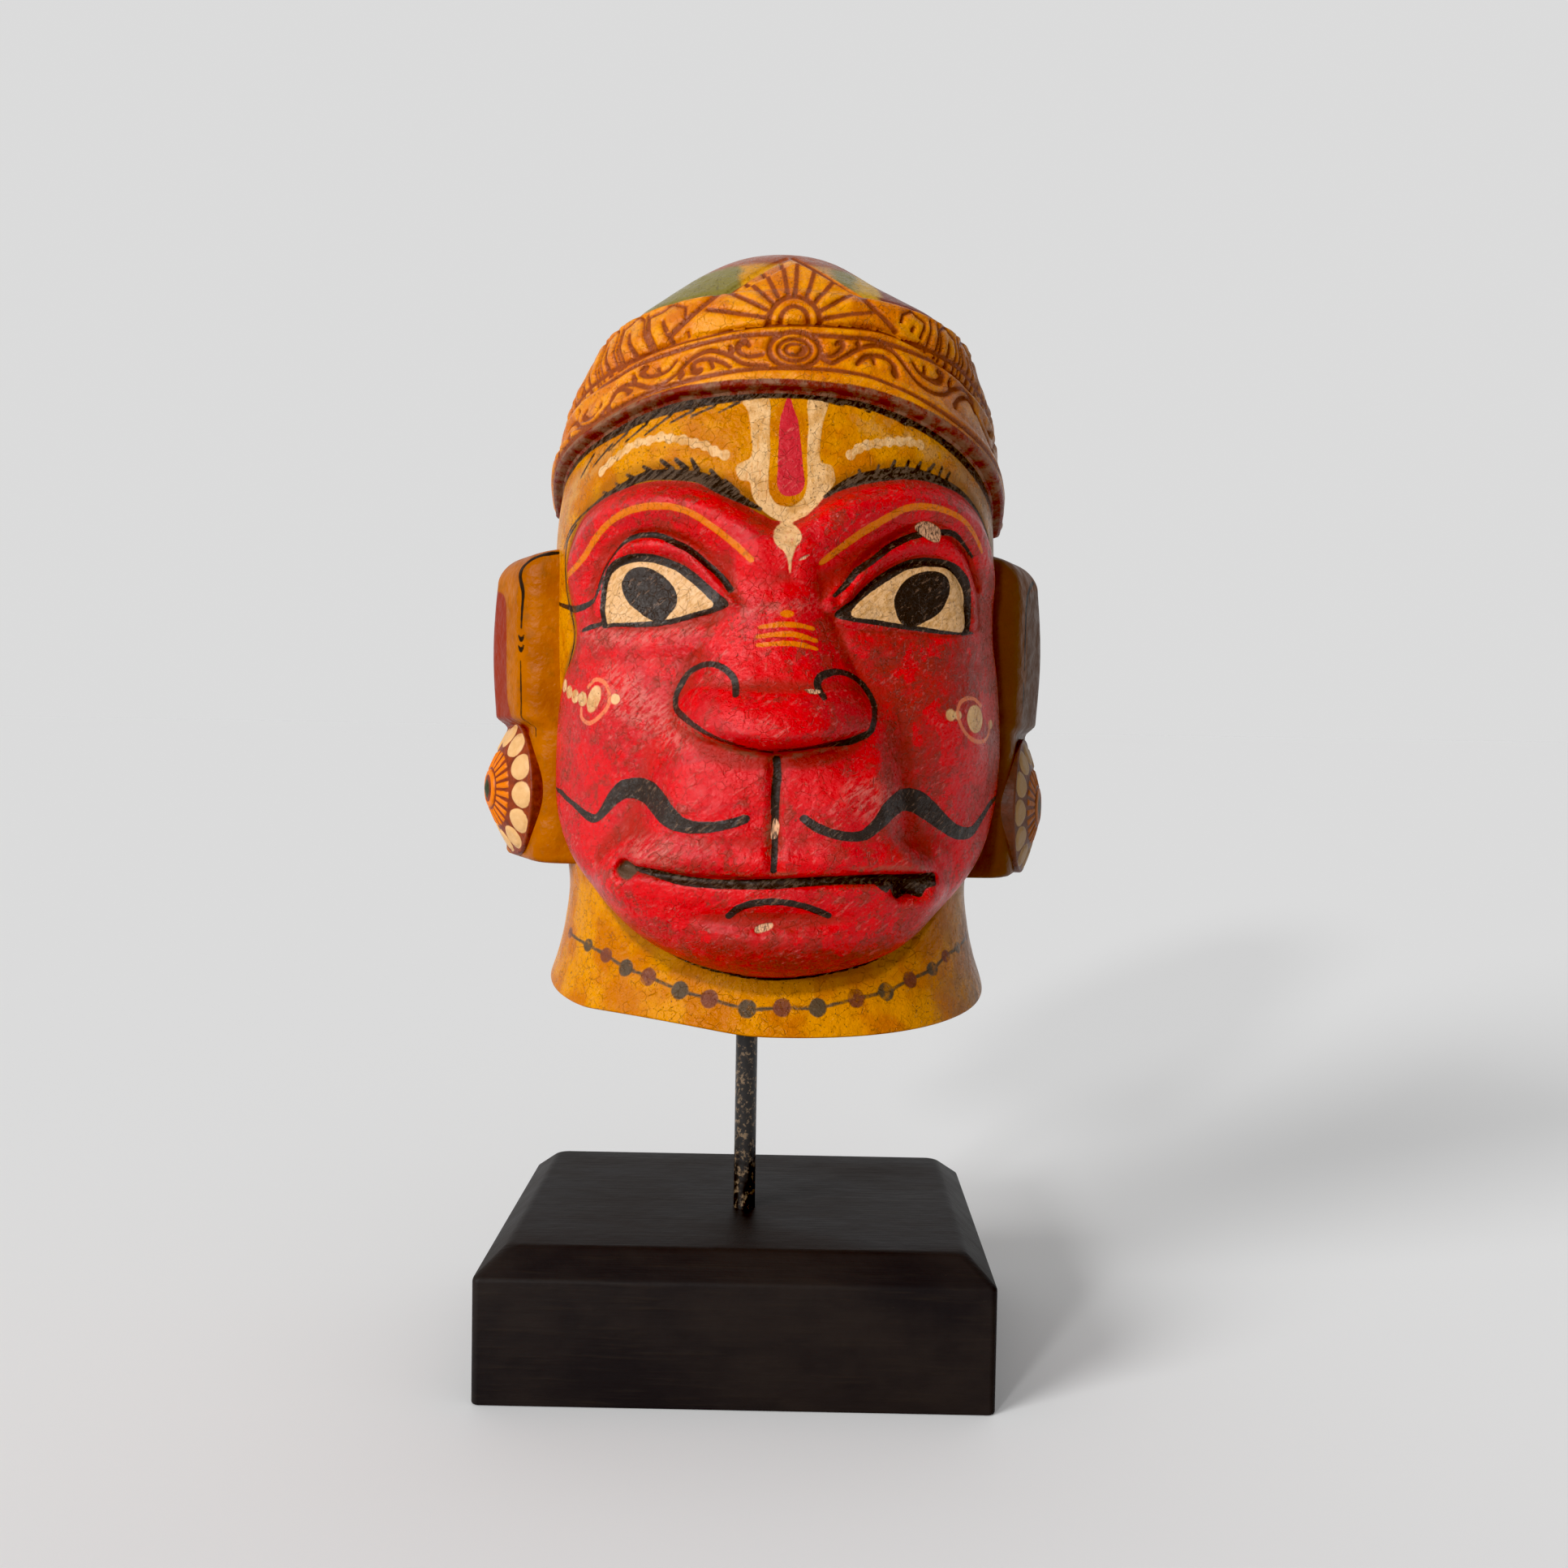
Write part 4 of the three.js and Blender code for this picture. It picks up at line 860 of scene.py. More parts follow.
def face_fields(u, z):
    """The paint of the face and the neck."""
    fields = {name: Field(u, z) for name in FACE_LAYERS}
    for name, (strokes, outlines, gain) in FACE_LAYERS.items():
        for stroke in strokes:
            fields[name].stroke(wider(stroke, gain))
        for outline in outlines:
            fields[name].fill(outline)
    fields["ink"].stroke(FACE_EDGE_STROKE)
    fields["ochre"].dot(*NOSE_DOT)
    for arc in PEARL_ARCS:
        fields["cream"].stroke(arc, PEARL_THREAD)
        for across, up in arc:
            fields["cream"].dot(across, up, PEARL_RADIUS)
    for oval in CHEEK_OVALS + CHEEK_PEARLS:
        fields["cream"].dot(*oval)
    for ring in CHEEK_RINGS:
        fields["rings"].stroke(ring, CHEEK_RING_WIDTH)
    fields["bead_dark"].stroke(NECKLACE, NECKLACE_THREAD)
    for index, (across, up) in enumerate(NECKLACE):
        squeeze = 1 / (1 + 0.7 * max(abs(across) - 45, 0) / 45)
        bead = fields["bead_dark" if index % 2 else "bead_maroon"]
        bead.dot(across, up, BEAD_RADIUS, BEAD_RADIUS * squeeze)
    depths = {name: field.depth for name, field in fields.items()}
    depths["red"] = np.clip(depth_inside(u, z, FACE_OUTLINE), FAR, DEEPEST)
    return depths


def rib_foot(u):
    return rim_z(u) + band_top(u) + 1.5


def arch(middle, wide, high, turns):
    """An oval's points at some turns from its right end."""
    return [[middle[0] + wide * math.cos(turn), middle[1] + high * math.sin(turn)] for turn in turns]


def crown_lines(u, x, z):
    """The cut lines of the crown as one field."""
    lines = Field(u, z)
    for line in BAND_LINES:
        lines.stroke(line, BAND_LINE_WIDTH)
    for stem in FRIEZE_STEMS:
        lines.stroke(stem, STEM_WIDTH)
    for stroke in FRIEZE_LEAVES + FRIEZE_BUDS:
        lines.stroke(wider(stroke, LINE_GAIN))
    for left_foot, left_top, right_foot, right_top in RIB_LOOPS:
        foot = [rib_foot(left_foot), rib_foot(right_foot)]
        top = [ring_top(left_top) - RIB_TOP_GAP, ring_top(right_top) - RIB_TOP_GAP]
        bend = (right_top - left_top) * 0.4
        lines.stroke([[left_foot, foot[0]], [left_top, top[0]]], RIB_WIDTH)
        lines.stroke([[right_foot, foot[1]], [right_top, top[1]]], RIB_WIDTH)
        lines.stroke([[left_top, top[0]], [left_top + bend, top[0] + RIB_ARCH],
                      [right_top - bend, top[1] + RIB_ARCH], [right_top, top[1]]], RIB_BAR_WIDTH)
        lines.stroke([[(left_foot + right_foot) / 2, sum(foot) / 2, 1.0],
                      [(left_top + right_top) / 2, sum(top) / 2 - 3.2, 0.7]])
    for foot_u, top_u in RIB_BARS:
        lines.stroke([[foot_u, rib_foot(foot_u)], [top_u, ring_top(top_u) - RIB_BAR_GAP]], RIB_BAR_WIDTH)
    middle = Field(x, z)
    for border in CREST_BORDERS:
        middle.stroke(border, CREST_BORDER_WIDTH)
    for spoke in CREST_SPOKES:
        middle.stroke(spoke, CREST_SPOKE_WIDTH)
    turns = np.arange(24) * math.pi / 12
    for wide, high, width in CREST_RINGS:
        middle.stroke(arch(CREST_RING_AT, wide, high, turns[:13]), width)
    for wide, high, width in MEDALLION_RINGS:
        middle.stroke(arch(MEDALLION, wide, high, turns), width, closed=True)
    middle.stroke(MEDALLION_CURL)
    on_crest = np.abs(x - CREST_MIDDLE_X) < crest_half(z, CREST_TOP_Z) + 1.5
    on_crest &= z > np.maximum(CREST_FOOT_Z - 2, rim_z(u) + band_top(u) + 0.8)
    in_medallion = np.hypot((x - MEDALLION[0]) / 8.2, (z - MEDALLION[1]) / 6.2) < 1
    return np.maximum(np.where(on_crest | in_medallion, FAR, lines.depth), middle.depth)


def hollowness(relief, reach=40):
    """How deep each point of a grid lies below its surroundings."""
    around = relief
    for _ in range(reach):
        padded = np.pad(around, 1, mode="edge")
        around = (padded[:-2, 1:-1] + padded[2:, 1:-1] + padded[1:-1, :-2] + padded[1:-1, 2:]) / 4
    return around - relief


def outside_piece(name, u, z, worn=0.0):
    """One stretch of the mask's painted outside."""
    shape = np.broadcast_shapes(u.shape, z.shape)
    u = np.broadcast_to(u, shape)
    plain = mask_point(u, z)
    lines = crown_lines(u, plain[..., 0], z)
    above = z - rim_z(u)
    in_crown = smooth(0.5, 2.5, above)
    shoulders = CUT_SHOULDER * smooth(0.2, 1.6, -lines)
    relief = in_crown * (shoulders - CUT_DEPTH * smooth(-0.35, 0.35, lines)) - worn
    points = mask_point(u, z, relief)
    x = points[..., 0]
    beside_crest = np.abs(x - CREST_MIDDLE_X) - 1.03 * crest_half(z, CREST_TOP_Z + 6)
    fields = face_fields(u, z)
    fields["groove"] = np.where(above > 0.5, lines, FAR)
    # How far each point lies below its surroundings: the paint darkens the hollows by it, as painted shade.
    fields["cavity"] = hollowness(carving(u, z) + crown(u, z) + relief)
    fields["above"] = above
    fields["behind"] = np.clip(np.minimum(beside_crest, z - ring_top(u) + 0.6), FAR, DEEPEST)
    made = add_mesh(name, points.reshape(-1, 3) + MASK_AT, grid_faces(*shape), fields)
    return made, points


def hollow_sides(z):
    """Half the hollow's width and its depth at a height."""
    top = TOP_Z - WALL
    rise = np.clip((z - DOME_START_Z) / (top - DOME_START_Z), 0, 1)
    low = np.minimum(z, DOME_START_Z)
    return (low_half(low) - WALL) * round_top(rise), (low_deep(low) - WALL) * np.sqrt(1 - rise**DOME_POWER)


# How many rows or columns of points each part of the bare wood has

BACK_STRIPS = 7
LOW_BACK_COLUMNS = 60
HOLLOW_LEVELS = 150
HOLLOW_TURNS = 161
FLOOR_STRIPS = 12
NECK_RINGS = 40


def between(a, b, count):
    """Rows of points that lead from one line of points to another."""
    share = np.linspace(0, 1, count)[:, None, None]
    return a * (1 - share) + b * share


def back_beside(edge, side):
    """The flat back on one side, from the mask's edge to the hollow."""
    edge = edge[edge[:, 2] >= HOLLOW_FLOOR - 1e-6]
    heights = edge[:, 2]
    width, _ = hollow_sides(heights)
    inner = lean(heights) + side * np.where(heights < TOP_Z - WALL - HOLLOW_CROWN, width, 0)
    inner = np.stack([inner, np.full(len(heights), BACK_Y), heights], -1)
    return between(edge, inner, BACK_STRIPS)[::side]


def back_below(edges):
    """The flat back below the hollow, which ends at the neck's cut."""
    left, right = (edge[edge[:, 2] <= HOLLOW_FLOOR + 1e-6] for edge in edges)
    sheet = between(left, right, LOW_BACK_COLUMNS).swapaxes(0, 1)
    sag = neck_cut(sheet[0, :, 0], sheet[0, :, 1]) - sheet[0, :, 2]
    sheet[..., 2] += sag * np.linspace(1, 0, len(left))[:, None]
    return sheet


def hollow_wall():
    levels = HOLLOW_FLOOR + (TOP_Z - WALL - HOLLOW_FLOOR) * (1 - np.linspace(1, 0, HOLLOW_LEVELS) ** 2)
    angles = np.linspace(-math.pi / 2, math.pi / 2, HOLLOW_TURNS)
    width, reach = hollow_sides(levels)
    return np.stack([
        lean(levels)[:, None] + width[:, None] * np.sin(angles),
        BACK_Y - reach[:, None] * np.clip(np.cos(angles), 0, None) ** SECTION_POWER,
        np.broadcast_to(levels[:, None], (HOLLOW_LEVELS, HOLLOW_TURNS)),
    ], -1)


def neck_underside(rim):
    """The neck's cut underside, from its rim to the rod's hole and up that."""
    hole = ROD_AT - MASK_AT[:2]
    turn = np.arctan2(rim[:, 1] - hole[1], rim[:, 0] - hole[0])
    ring = hole + (ROD_RADIUS + FIT_GAP) * np.stack([np.cos(turn), np.sin(turn)], -1)
    ring = np.concatenate([ring, neck_cut(ring[:, :1], ring[:, 1:2])], -1)
    top_ring = ring * [1, 1, 0] + [0, 0, ROD_HOLE_TOP]
    top_middle = top_ring * 0 + [hole[0], hole[1], ROD_HOLE_TOP]
    return np.concatenate([between(rim, ring, NECK_RINGS), top_ring[None], top_middle[None]])


def build_back(edges, bottom):
    """The bare wood: the flat back round the hollow, the hollow itself and the neck's underside."""
    wall = hollow_wall()
    low_back = back_below(edges)
    rim = np.concatenate([bottom, low_back[0, -2:0:-1]])
    grids = [
        back_beside(edges[0], -1), back_beside(edges[1], 1), low_back, wall,
        between(wall[0], wall[0] * [1, 0, 1] + [0, BACK_Y, 0], FLOOR_STRIPS),
        neck_underside(rim),
    ]
    faces = []
    start = 0
    for grid in grids:
        rows, count, _ = grid.shape
        goes_round = grid is grids[-1]
        faces.append(start + grid_faces(rows, count, closed=goes_round, flip=True))
        start += rows * count
    points = np.concatenate([grid.reshape(-1, 3) for grid in grids])
    return add_mesh("mask_back", points + MASK_AT, np.concatenate(faces))


# Ears and their discs

EAR_SET_IN = 0.6
EAR_BACK_STEP = 0.25
EAR_TOP_Z = 149.0
EAR_FRONT_Y = -14.0
EAR_NOTCH_Z = 92.0
EAR_CORNER = 9.0
EAR_ROOT_X = 56.0
EAR_TOP_SLOPE = 3.0 / 35
EAR_CORNER_RADII = [7.0, 3.0, 0.8]
EAR_PLAN_COUNT = 150
DISC_RADIUS = 22.0
DISC_SHOULDER = 2.0
DISC_POINT = 1.3
DISC_EDGE = 1.2
DISC_ROOT = 3.0
EARS = {
    "left": dict(side=-1, bottom=47.8, front=81, out=93.5, back=8, low_front=76.5, low_out=92.5,
                 low_back=22, disc_z=70.9, disc_rise=12),
    "right": dict(side=1, bottom=45.5, front=74.5, out=85, back=10, low_front=74, low_out=83.6,
                  low_back=22, disc_z=67.8, disc_rise=8),
}
EAR_STROKES = {
    "left": [
        [[-7, 147.5, 0.5], [-1, 147.3, 0.8], [2.6, 144.5, 1.0], [2.8, 140, 1.0], [1.2, 134, 0.8],
         [1.6, 128, 0.55], [1.8, 122.5, 0.4]],
        [[0.6, 120.2, 0.4], [1.8, 118.9, 0.8], [3.2, 120.2, 0.4]],
        [[0.6, 117.0, 0.4], [1.8, 115.6, 0.8], [3.2, 117.0, 0.4]],
        [[1.9, 112, 0.3], [1.6, 100, 0.4], [1.4, 88, 0.3]],
    ],
    "right": [
        [[20, 143, 0.5], [14, 140, 0.9], [10, 134, 0.9], [8.6, 122, 0.7], [8.6, 112, 0.4]],
        [[7.8, 108, 0.4], [8.6, 104.5, 0.8], [8.0, 100, 0.3]],
    ],
}
EAR_RED = {
    "left": [[16, 134], [13, 124], [12.5, 112], [12, 100], [9, 88], [44, 88], [48, 134], [30, 137]],
    "right": [[14, 138], [11, 126], [10.5, 108], [10, 90], [44, 90], [44, 138]],
}


def rounded(corners, radii, pieces):
    """A line through corners, with the inner ones rounded."""
    corners = [np.array(corner, float) for corner in corners]
    line = [corners[0]]
    for before, corner, after, radius in zip(corners[:-2], corners[1:-1], corners[2:], radii):
        start = corner + (before - corner) / np.linalg.norm(before - corner) * radius
        end = corner + (after - corner) / np.linalg.norm(after - corner) * radius
        for t in np.linspace(0, 1, pieces):
            line.append(start * (1 - t) ** 2 + 2 * corner * t * (1 - t) + end * t * t)
    line.append(corners[-1])
    return np.array(line)


def even_steps(line, count):
    """The line in even steps, with the way along it."""
    way = np.concatenate([[0], np.cumsum(np.linalg.norm(np.diff(line, axis=0), axis=1))])
    even = np.linspace(0, way[-1], count)
    return np.stack([np.interp(even, way, line[:, k]) for k in (0, 1)], -1), even


def ear_ring(ear, z):
    """The ear's plan at a height, and how far each point lies from the front corner."""
    upper = smooth(EAR_NOTCH_Z - 1.5, EAR_NOTCH_Z + 2.5, z)
    swell = 1.5 * soft_bump((z - 116) / 30)
    corner = max(0, z - (EAR_TOP_Z - EAR_CORNER)) / EAR_CORNER
    drawn = EAR_CORNER * (1 - round_top(corner))
    under = 2.0 * (1 - round_top(max(0, 1 - (z - ear["bottom"]) / 2.0)))
    front = ear["low_front"] + (ear["front"] - ear["low_front"]) * upper - drawn - under
    out = ear["low_out"] + (ear["out"] - ear["low_out"]) * upper + swell - drawn - under
    back = ear["low_back"] + (ear["back"] - ear["low_back"]) * upper
    face_y = EAR_FRONT_Y + under + 0.25 * drawn
    root = low_half(z) - WALL + ear["side"] * lean(z) + EAR_SET_IN
    rear = BACK_Y - EAR_BACK_STEP
    corners = [[root, face_y], [front, face_y], [out, back], [out, rear], [root, rear]]
    plan, way = even_steps(rounded(corners, EAR_CORNER_RADII, 9), EAR_PLAN_COUNT)
    return plan, way - (front - root)


def build_ear(name, ear):
    side = ear["side"]
    stretches = [[ear["bottom"] + 2, 5], [EAR_TOP_Z - EAR_CORNER, 110], [EAR_TOP_Z - 0.05, 22]]
    levels = steps(ear["bottom"], stretches)
    rings = []
    ways = []
    for z in levels:
        plan, way = ear_ring(ear, z)
        slope = EAR_TOP_SLOPE * smooth(EAR_TOP_Z - 20, EAR_TOP_Z, z) * (plan[:, 0] - EAR_ROOT_X)
        rings.append(np.stack([side * plan[:, 0], plan[:, 1], z - slope], -1))
        ways.append(way)
    points = np.array(rings).reshape(-1, 3)
    ink = Field(np.array(ways), levels[:, None] + 0 * np.array(ways))
    for stroke in EAR_STROKES[name]:
        ink.stroke(stroke)
    red = Field(ink.across, ink.up)
    red.fill(EAR_RED[name])
    bottom = list(range(EAR_PLAN_COUNT))[::side]
    top = list(range(len(points) - EAR_PLAN_COUNT, len(points)))[::-side]
    faces = list(grid_faces(len(levels), EAR_PLAN_COUNT, closed=True, flip=side > 0))
    fields = {"ink": ink.depth, "red": red.depth}
    return add_mesh("ear_" + name, points + MASK_AT, faces + [bottom, top], fields)


OVALS = 12
PETALS = 22
OVAL_AT = 17.3
OVAL_SIZE = [3.7, 4.2]


def disc_pattern(radius, angle):
    """The carved and painted layers of an ear disc: boss, ring, petals and ovals."""
    oval_turn = (angle * OVALS / (2 * math.pi) + 0.35) % 1 - 0.5
    along = oval_turn * 2 * math.pi / OVALS * OVAL_AT
    petal_pitch = 2 * math.pi / PETALS * radius
    petal_across = np.abs((angle * PETALS / (2 * math.pi)) % 1 - 0.5) * petal_pitch
    return {
        "ovals": (1 - np.hypot((radius - OVAL_AT) / OVAL_SIZE[0], along / OVAL_SIZE[1])) * min(OVAL_SIZE),
        "petals": np.minimum(0.3 * petal_pitch - petal_across, 2.7 - np.abs(radius - 9.6)),
        "ring": 0.9 - np.abs(radius - 5.4),
        "boss": 3.0 - radius,
    }


def build_disc(name, ear):
    """The ear's boss: a blunt cone turned to lie on the ear's slanted face."""
    rim_turns = np.linspace(0.1, math.pi / 2, 8)
    radii = np.concatenate([
        np.linspace(0.02, DISC_RADIUS - DISC_EDGE - 0.1, 96),
        DISC_RADIUS - DISC_EDGE + DISC_EDGE * np.sin(rim_turns),
    ])
    angles = np.linspace(0, 2 * math.pi, 260, endpoint=False)
    radius, angle = np.meshgrid(radii, angles, indexing="ij")
    layers = disc_pattern(radius, angle)
    share = np.clip(radius / (DISC_RADIUS - DISC_EDGE), 0, 1)
    cone = DISC_SHOULDER + (ear["disc_rise"] - DISC_SHOULDER) * (1 - share**DISC_POINT)
    past_edge = np.clip((radius - (DISC_RADIUS - DISC_EDGE)) / DISC_EDGE, 0, 1)
    relief = 0.6 * smooth(-0.2, 1.2, layers["ovals"]) + 0.45 * smooth(-0.2, 0.6, layers["petals"])
    relief = relief + 0.5 * smooth(-0.3, 0.4, layers["ring"]) - 0.6
    height = cone + relief * smooth(0, 1.5, DISC_RADIUS - radius) - DISC_EDGE * (1 - round_top(past_edge))
    radius = np.concatenate([radius, np.full((1, len(angles)), DISC_RADIUS)])
    height = np.concatenate([height, np.full((1, len(angles)), -DISC_ROOT)])
    run = np.array([ear["low_out"] - ear["low_front"], ear["low_back"] - EAR_FRONT_Y])
    run = run / np.linalg.norm(run)
    along = radius * np.cos(angles) + DISC_RADIUS
    x = ear["side"] * (ear["low_front"] + run[0] * along + run[1] * height)
    y = np.minimum(EAR_FRONT_Y + run[1] * along - run[0] * height, BACK_Y)
    z = ear["disc_z"] + radius * np.sin(angles)
    points = np.stack([x, y, z], -1)
    faces = grid_faces(len(radius), len(angles), closed=True, flip=ear["side"] > 0)
    bare = np.full((1, len(angles)), FAR)
    fields = {layer: np.concatenate([depth, bare]) for layer, depth in layers.items()}
    return add_mesh("disc_" + name, points.reshape(-1, 3) + MASK_AT, faces, fields)


# The base and the rod

BASE_CORNER = 2.2
BASE_CORNER_GAIN = 0.12
BASE_ROUNDINGS = [0.9, 1.0, 1.6]
ROD_EDGE = 0.5


def base_ring(inset, z):
    """A rectangle with rounded corners, set in from the base's sides."""
    corner = BASE_CORNER + inset * BASE_CORNER_GAIN
    ring = []
    for side_x, side_y, turn in ((1, 1, 0), (-1, 1, 0.5), (-1, -1, 1), (1, -1, 1.5)):
        for angle in np.linspace(turn, turn + 0.5, 9) * math.pi:
            x = side_x * (BASE_WIDTH / 2 - inset - corner) + corner * math.cos(angle)
            y = side_y * (BASE_DEPTH / 2 - inset - corner) + corner * math.sin(angle)
            ring.append([x, y, z])
    return ring


def build_base():
    shoulder = BASE_HEIGHT - BEVEL_DROP
    corners = [[2, 0], [0, 0], [0, shoulder], [BEVEL_RUN, BASE_HEIGHT], [20, BASE_HEIGHT]]
    rings = [base_ring(inset, z) for inset, z in rounded(corners, BASE_ROUNDINGS, 6)]
    underside, top = ([[0, 0, z]] * len(rings[0]) for z in (0, BASE_HEIGHT))
    points = np.array([underside] + rings + [top], float)
    return add_mesh("base_block", points.reshape(-1, 3), grid_faces(*points.shape[:2], closed=True))


def build_rod():
    bottom = BASE_HEIGHT - ROD_IN_BASE
    top = MASK_AT[2] + ROD_HOLE_TOP - FIT_GAP
    profile = [[0.01, bottom], [ROD_RADIUS - ROD_EDGE, bottom], [ROD_RADIUS, bottom + ROD_EDGE]]
    profile += [[ROD_RADIUS, z] for z in np.linspace(bottom + 0.6, top - 0.6, 60)]
    profile += [[ROD_RADIUS, top - ROD_EDGE], [ROD_RADIUS - ROD_EDGE, top], [0.01, top]]
    angles = np.linspace(0, 2 * math.pi, 64, endpoint=False)
    radii, heights = np.array(profile).T[:, :, None]
    x = ROD_AT[0] + radii * np.cos(angles)
    y = ROD_AT[1] + radii * np.sin(angles)
    points = np.stack([x, y, heights + 0 * x], -1)
    return add_mesh("rod_round", points.reshape(-1, 3), grid_faces(len(profile), len(angles), closed=True))


# Paint shaders


def srgb(red, green, blue):
    """A colour as a screen shows it, from 0 to 255, in the linear values that a shader takes."""
    def linear(value):
        value = value / 255
        return value / 12.92 if value <= 0.04045 else ((value + 0.055) / 1.055) ** 2.4
    return (linear(red), linear(green), linear(blue), 1.0)


class Nodes:
    """Builds a node tree. A value is a number, a colour or another node's output."""

    def __init__(self, tree):
        self.tree = tree
        self.tree.nodes.clear()

    def put(self, socket, value):
        if isinstance(value, bpy.types.NodeSocket):
            self.tree.links.new(value, socket)
        else:
            socket.default_value = value

    def make(self, kind, inputs, **settings):
        """Makes a node of a kind, with its settings and its inputs by name or number."""
        node = self.tree.nodes.new("ShaderNode" + kind)
        for setting, value in settings.items():
            setattr(node, setting, value)
        for name, value in inputs.items():
            self.put(node.inputs[name], value)
        return node

    def math(self, operation, a, b=0.0, c=0.0):
        return self.make("Math", {0: a, 1: b, 2: c}, operation=operation).outputs[0]

    def vector(self, operation, a, b, c=(0, 0, 0)):
        return self.make("VectorMath", {0: a, 1: b, 2: c}, operation=operation).outputs[0]

    def ramp(self, value, start, end, low=0.0, high=1.0):
        """A smooth step from low to high between two values."""
        inputs = dict(enumerate((value, start, end, low, high)))
        return self.make("MapRange", inputs, interpolation_type="SMOOTHSTEP").outputs[0]

    def largest(self, *values):
        most = values[0]
        for value in values[1:]:
            most = self.math("MAXIMUM", most, value)
        return most

    def all_of(self, *shares):
        """The product of shares."""
        product = shares[0]
        for share in shares[1:]:
            product = self.math("MULTIPLY", product, share)
        return product


class Paint(Nodes):
    """Builds a painted surface. Every pattern is in millimetres."""

    def __init__(self, name):
        self.material = bpy.data.materials.new(name)
        self.material.use_nodes = True
        super().__init__(self.material.node_tree)
        self.shader = self.make("BsdfPrincipled", {})
        self.make("OutputMaterial", {"Surface": self.shader.outputs[0]})
        spot = self.make("TexCoord", {}).outputs["Object"]
        self.spot = self.vector("MULTIPLY", spot, (1 / MM, 1 / MM, 1 / MM))
        self.x, self.y, self.z = self.make("SeparateXYZ", {0: self.spot}).outputs
        self.heights = 0.0

    def field(self, name):
        return self.make("Attribute", {}, attribute_name=name).outputs["Fac"]

    def noise(self, size, detail=3.0, rough=0.5, stretch=(1, 1, 1), shift=0.0, tilt=0.0):
        """Noise of about a size, stretched along the axes, then tilted about the front-to-back axis."""
        spot = self.spot
        if tilt:
            turned = {"Vector": spot, "Angle": tilt}
            spot = self.make("VectorRotate", turned, rotation_type="Y_AXIS").outputs[0]
        spot = self.vector("MULTIPLY", spot, [1 / (size * along) for along in stretch])
        if shift:
            spot = self.vector("ADD", spot, (shift, shift * 0.7, shift * 1.3))
        look = {"Vector": spot, "Scale": 1.0, "Detail": detail, "Roughness": rough}
        return self.make("TexNoise", look).outputs["Fac"]

    def cracks(self, size, width):
        """Thin lines between cells of about a size: 1 on a line, 0 away from it."""
        bent = self.vector("MULTIPLY_ADD", self.spot, [1 / size] * 3, self.noise(size * 1.5, 3, 0.6))
        cells = self.make("TexVoronoi", {"Vector": bent, "Scale": 1.0}, feature="DISTANCE_TO_EDGE")
        return self.ramp(cells.outputs["Distance"], 0, width, 1, 0)

    def mix(self, share, a, b):
        """Goes from one colour to another."""
        return self.make("Mix", {0: share, 6: a, 7: b}, data_type="RGBA").outputs[2]

    def blend(self, share, a, b):
        """Goes from one number to another."""
        return self.make("Mix", {0: share, 2: a, 3: b}, data_type="FLOAT").outputs[0]

    def coats(self, ground, *coats):
        """Lays coats of paint over a ground. Each coat is its share and its colour."""
        for share, colour in coats:
            ground = self.mix(share, ground, colour)
        return ground

    def edge(self, name, wobble=0.0, softness=0.12, grow=0.0):
        """The painted share of a layer: 1 inside, 0 outside, with a hand-drawn edge."""
        return self.ramp(self.math("ADD", self.field(name), wobble), -softness - grow, softness - grow)

    def height(self, value, amount):
        """Adds relief for the bump, in millimetres."""
        self.heights = self.math("MULTIPLY_ADD", value, amount, self.heights)

    def finish(self, colour, roughness, specular, **more):
        """Puts the values on the shader. More sockets are given by name, with _ for a space."""
        values = {"Base Color": colour, "Roughness": roughness, "Specular IOR Level": specular}
        values.update({name.replace("_", " "): value for name, value in more.items()})
        if self.heights:
            bump = self.make("Bump", {"Distance": MM, "Height": self.heights}).outputs[0]
            values.update({"Normal": bump, "Coat Normal": bump})
        for name, value in values.items():
            self.put(self.shader.inputs[name], value)
        return self.material


# Colours, as a screen shows them

OCHRE = srgb(210, 134, 0)
OCHRE_DEEP = srgb(188, 106, 0)
# Dirt, and the painted shade of the hollows.
OCHRE_DIRT_AND_SHADE = srgb(112, 72, 30)
TAN = srgb(198, 142, 76)
CREAM = srgb(228, 184, 130)
CREAM_WORN = srgb(200, 148, 86)
RED_BRIGHT = srgb(212, 0, 10)
RED_DULL = srgb(196, 12, 22)
RED_WORN = srgb(204, 92, 84)
# Painted shade of the dark patches and the hollows, and grime.
RED_SHADE_AND_GRIME = srgb(146, 36, 20)
CRIMSON = srgb(192, 44, 52)
INK = srgb(40, 28, 20)
INK_WORN = srgb(104, 78, 60)
HAIR_GREY = srgb(86, 68, 54)
BARE = srgb(226, 170, 130)
PIT = srgb(96, 72, 56)
BEAD_DARK = srgb(74, 66, 54)
BEAD_MAROON = srgb(112, 62, 46)
EYE_CREAM = srgb(224, 176, 124)
RING_ORANGE = srgb(224, 122, 78)
LINE_OCHRE = srgb(216, 112, 0)
CROWN_OCHRE = srgb(228, 142, 2)
CROWN_DEEP = srgb(204, 108, 2)
# Painted shade of the crown's right side.
CROWN_RIGHT_SHADE = srgb(128, 84, 48)
PETAL_PALE = srgb(236, 164, 84)
# Painted shade of the crown's cut lines on the right.
GROOVE_RIGHT_SHADE = srgb(88, 54, 36)
# Painted shade of the ochre's right side.
HEAD_RIGHT_SHADE = srgb(128, 98, 74)
GAP_DARK = srgb(46, 32, 24)
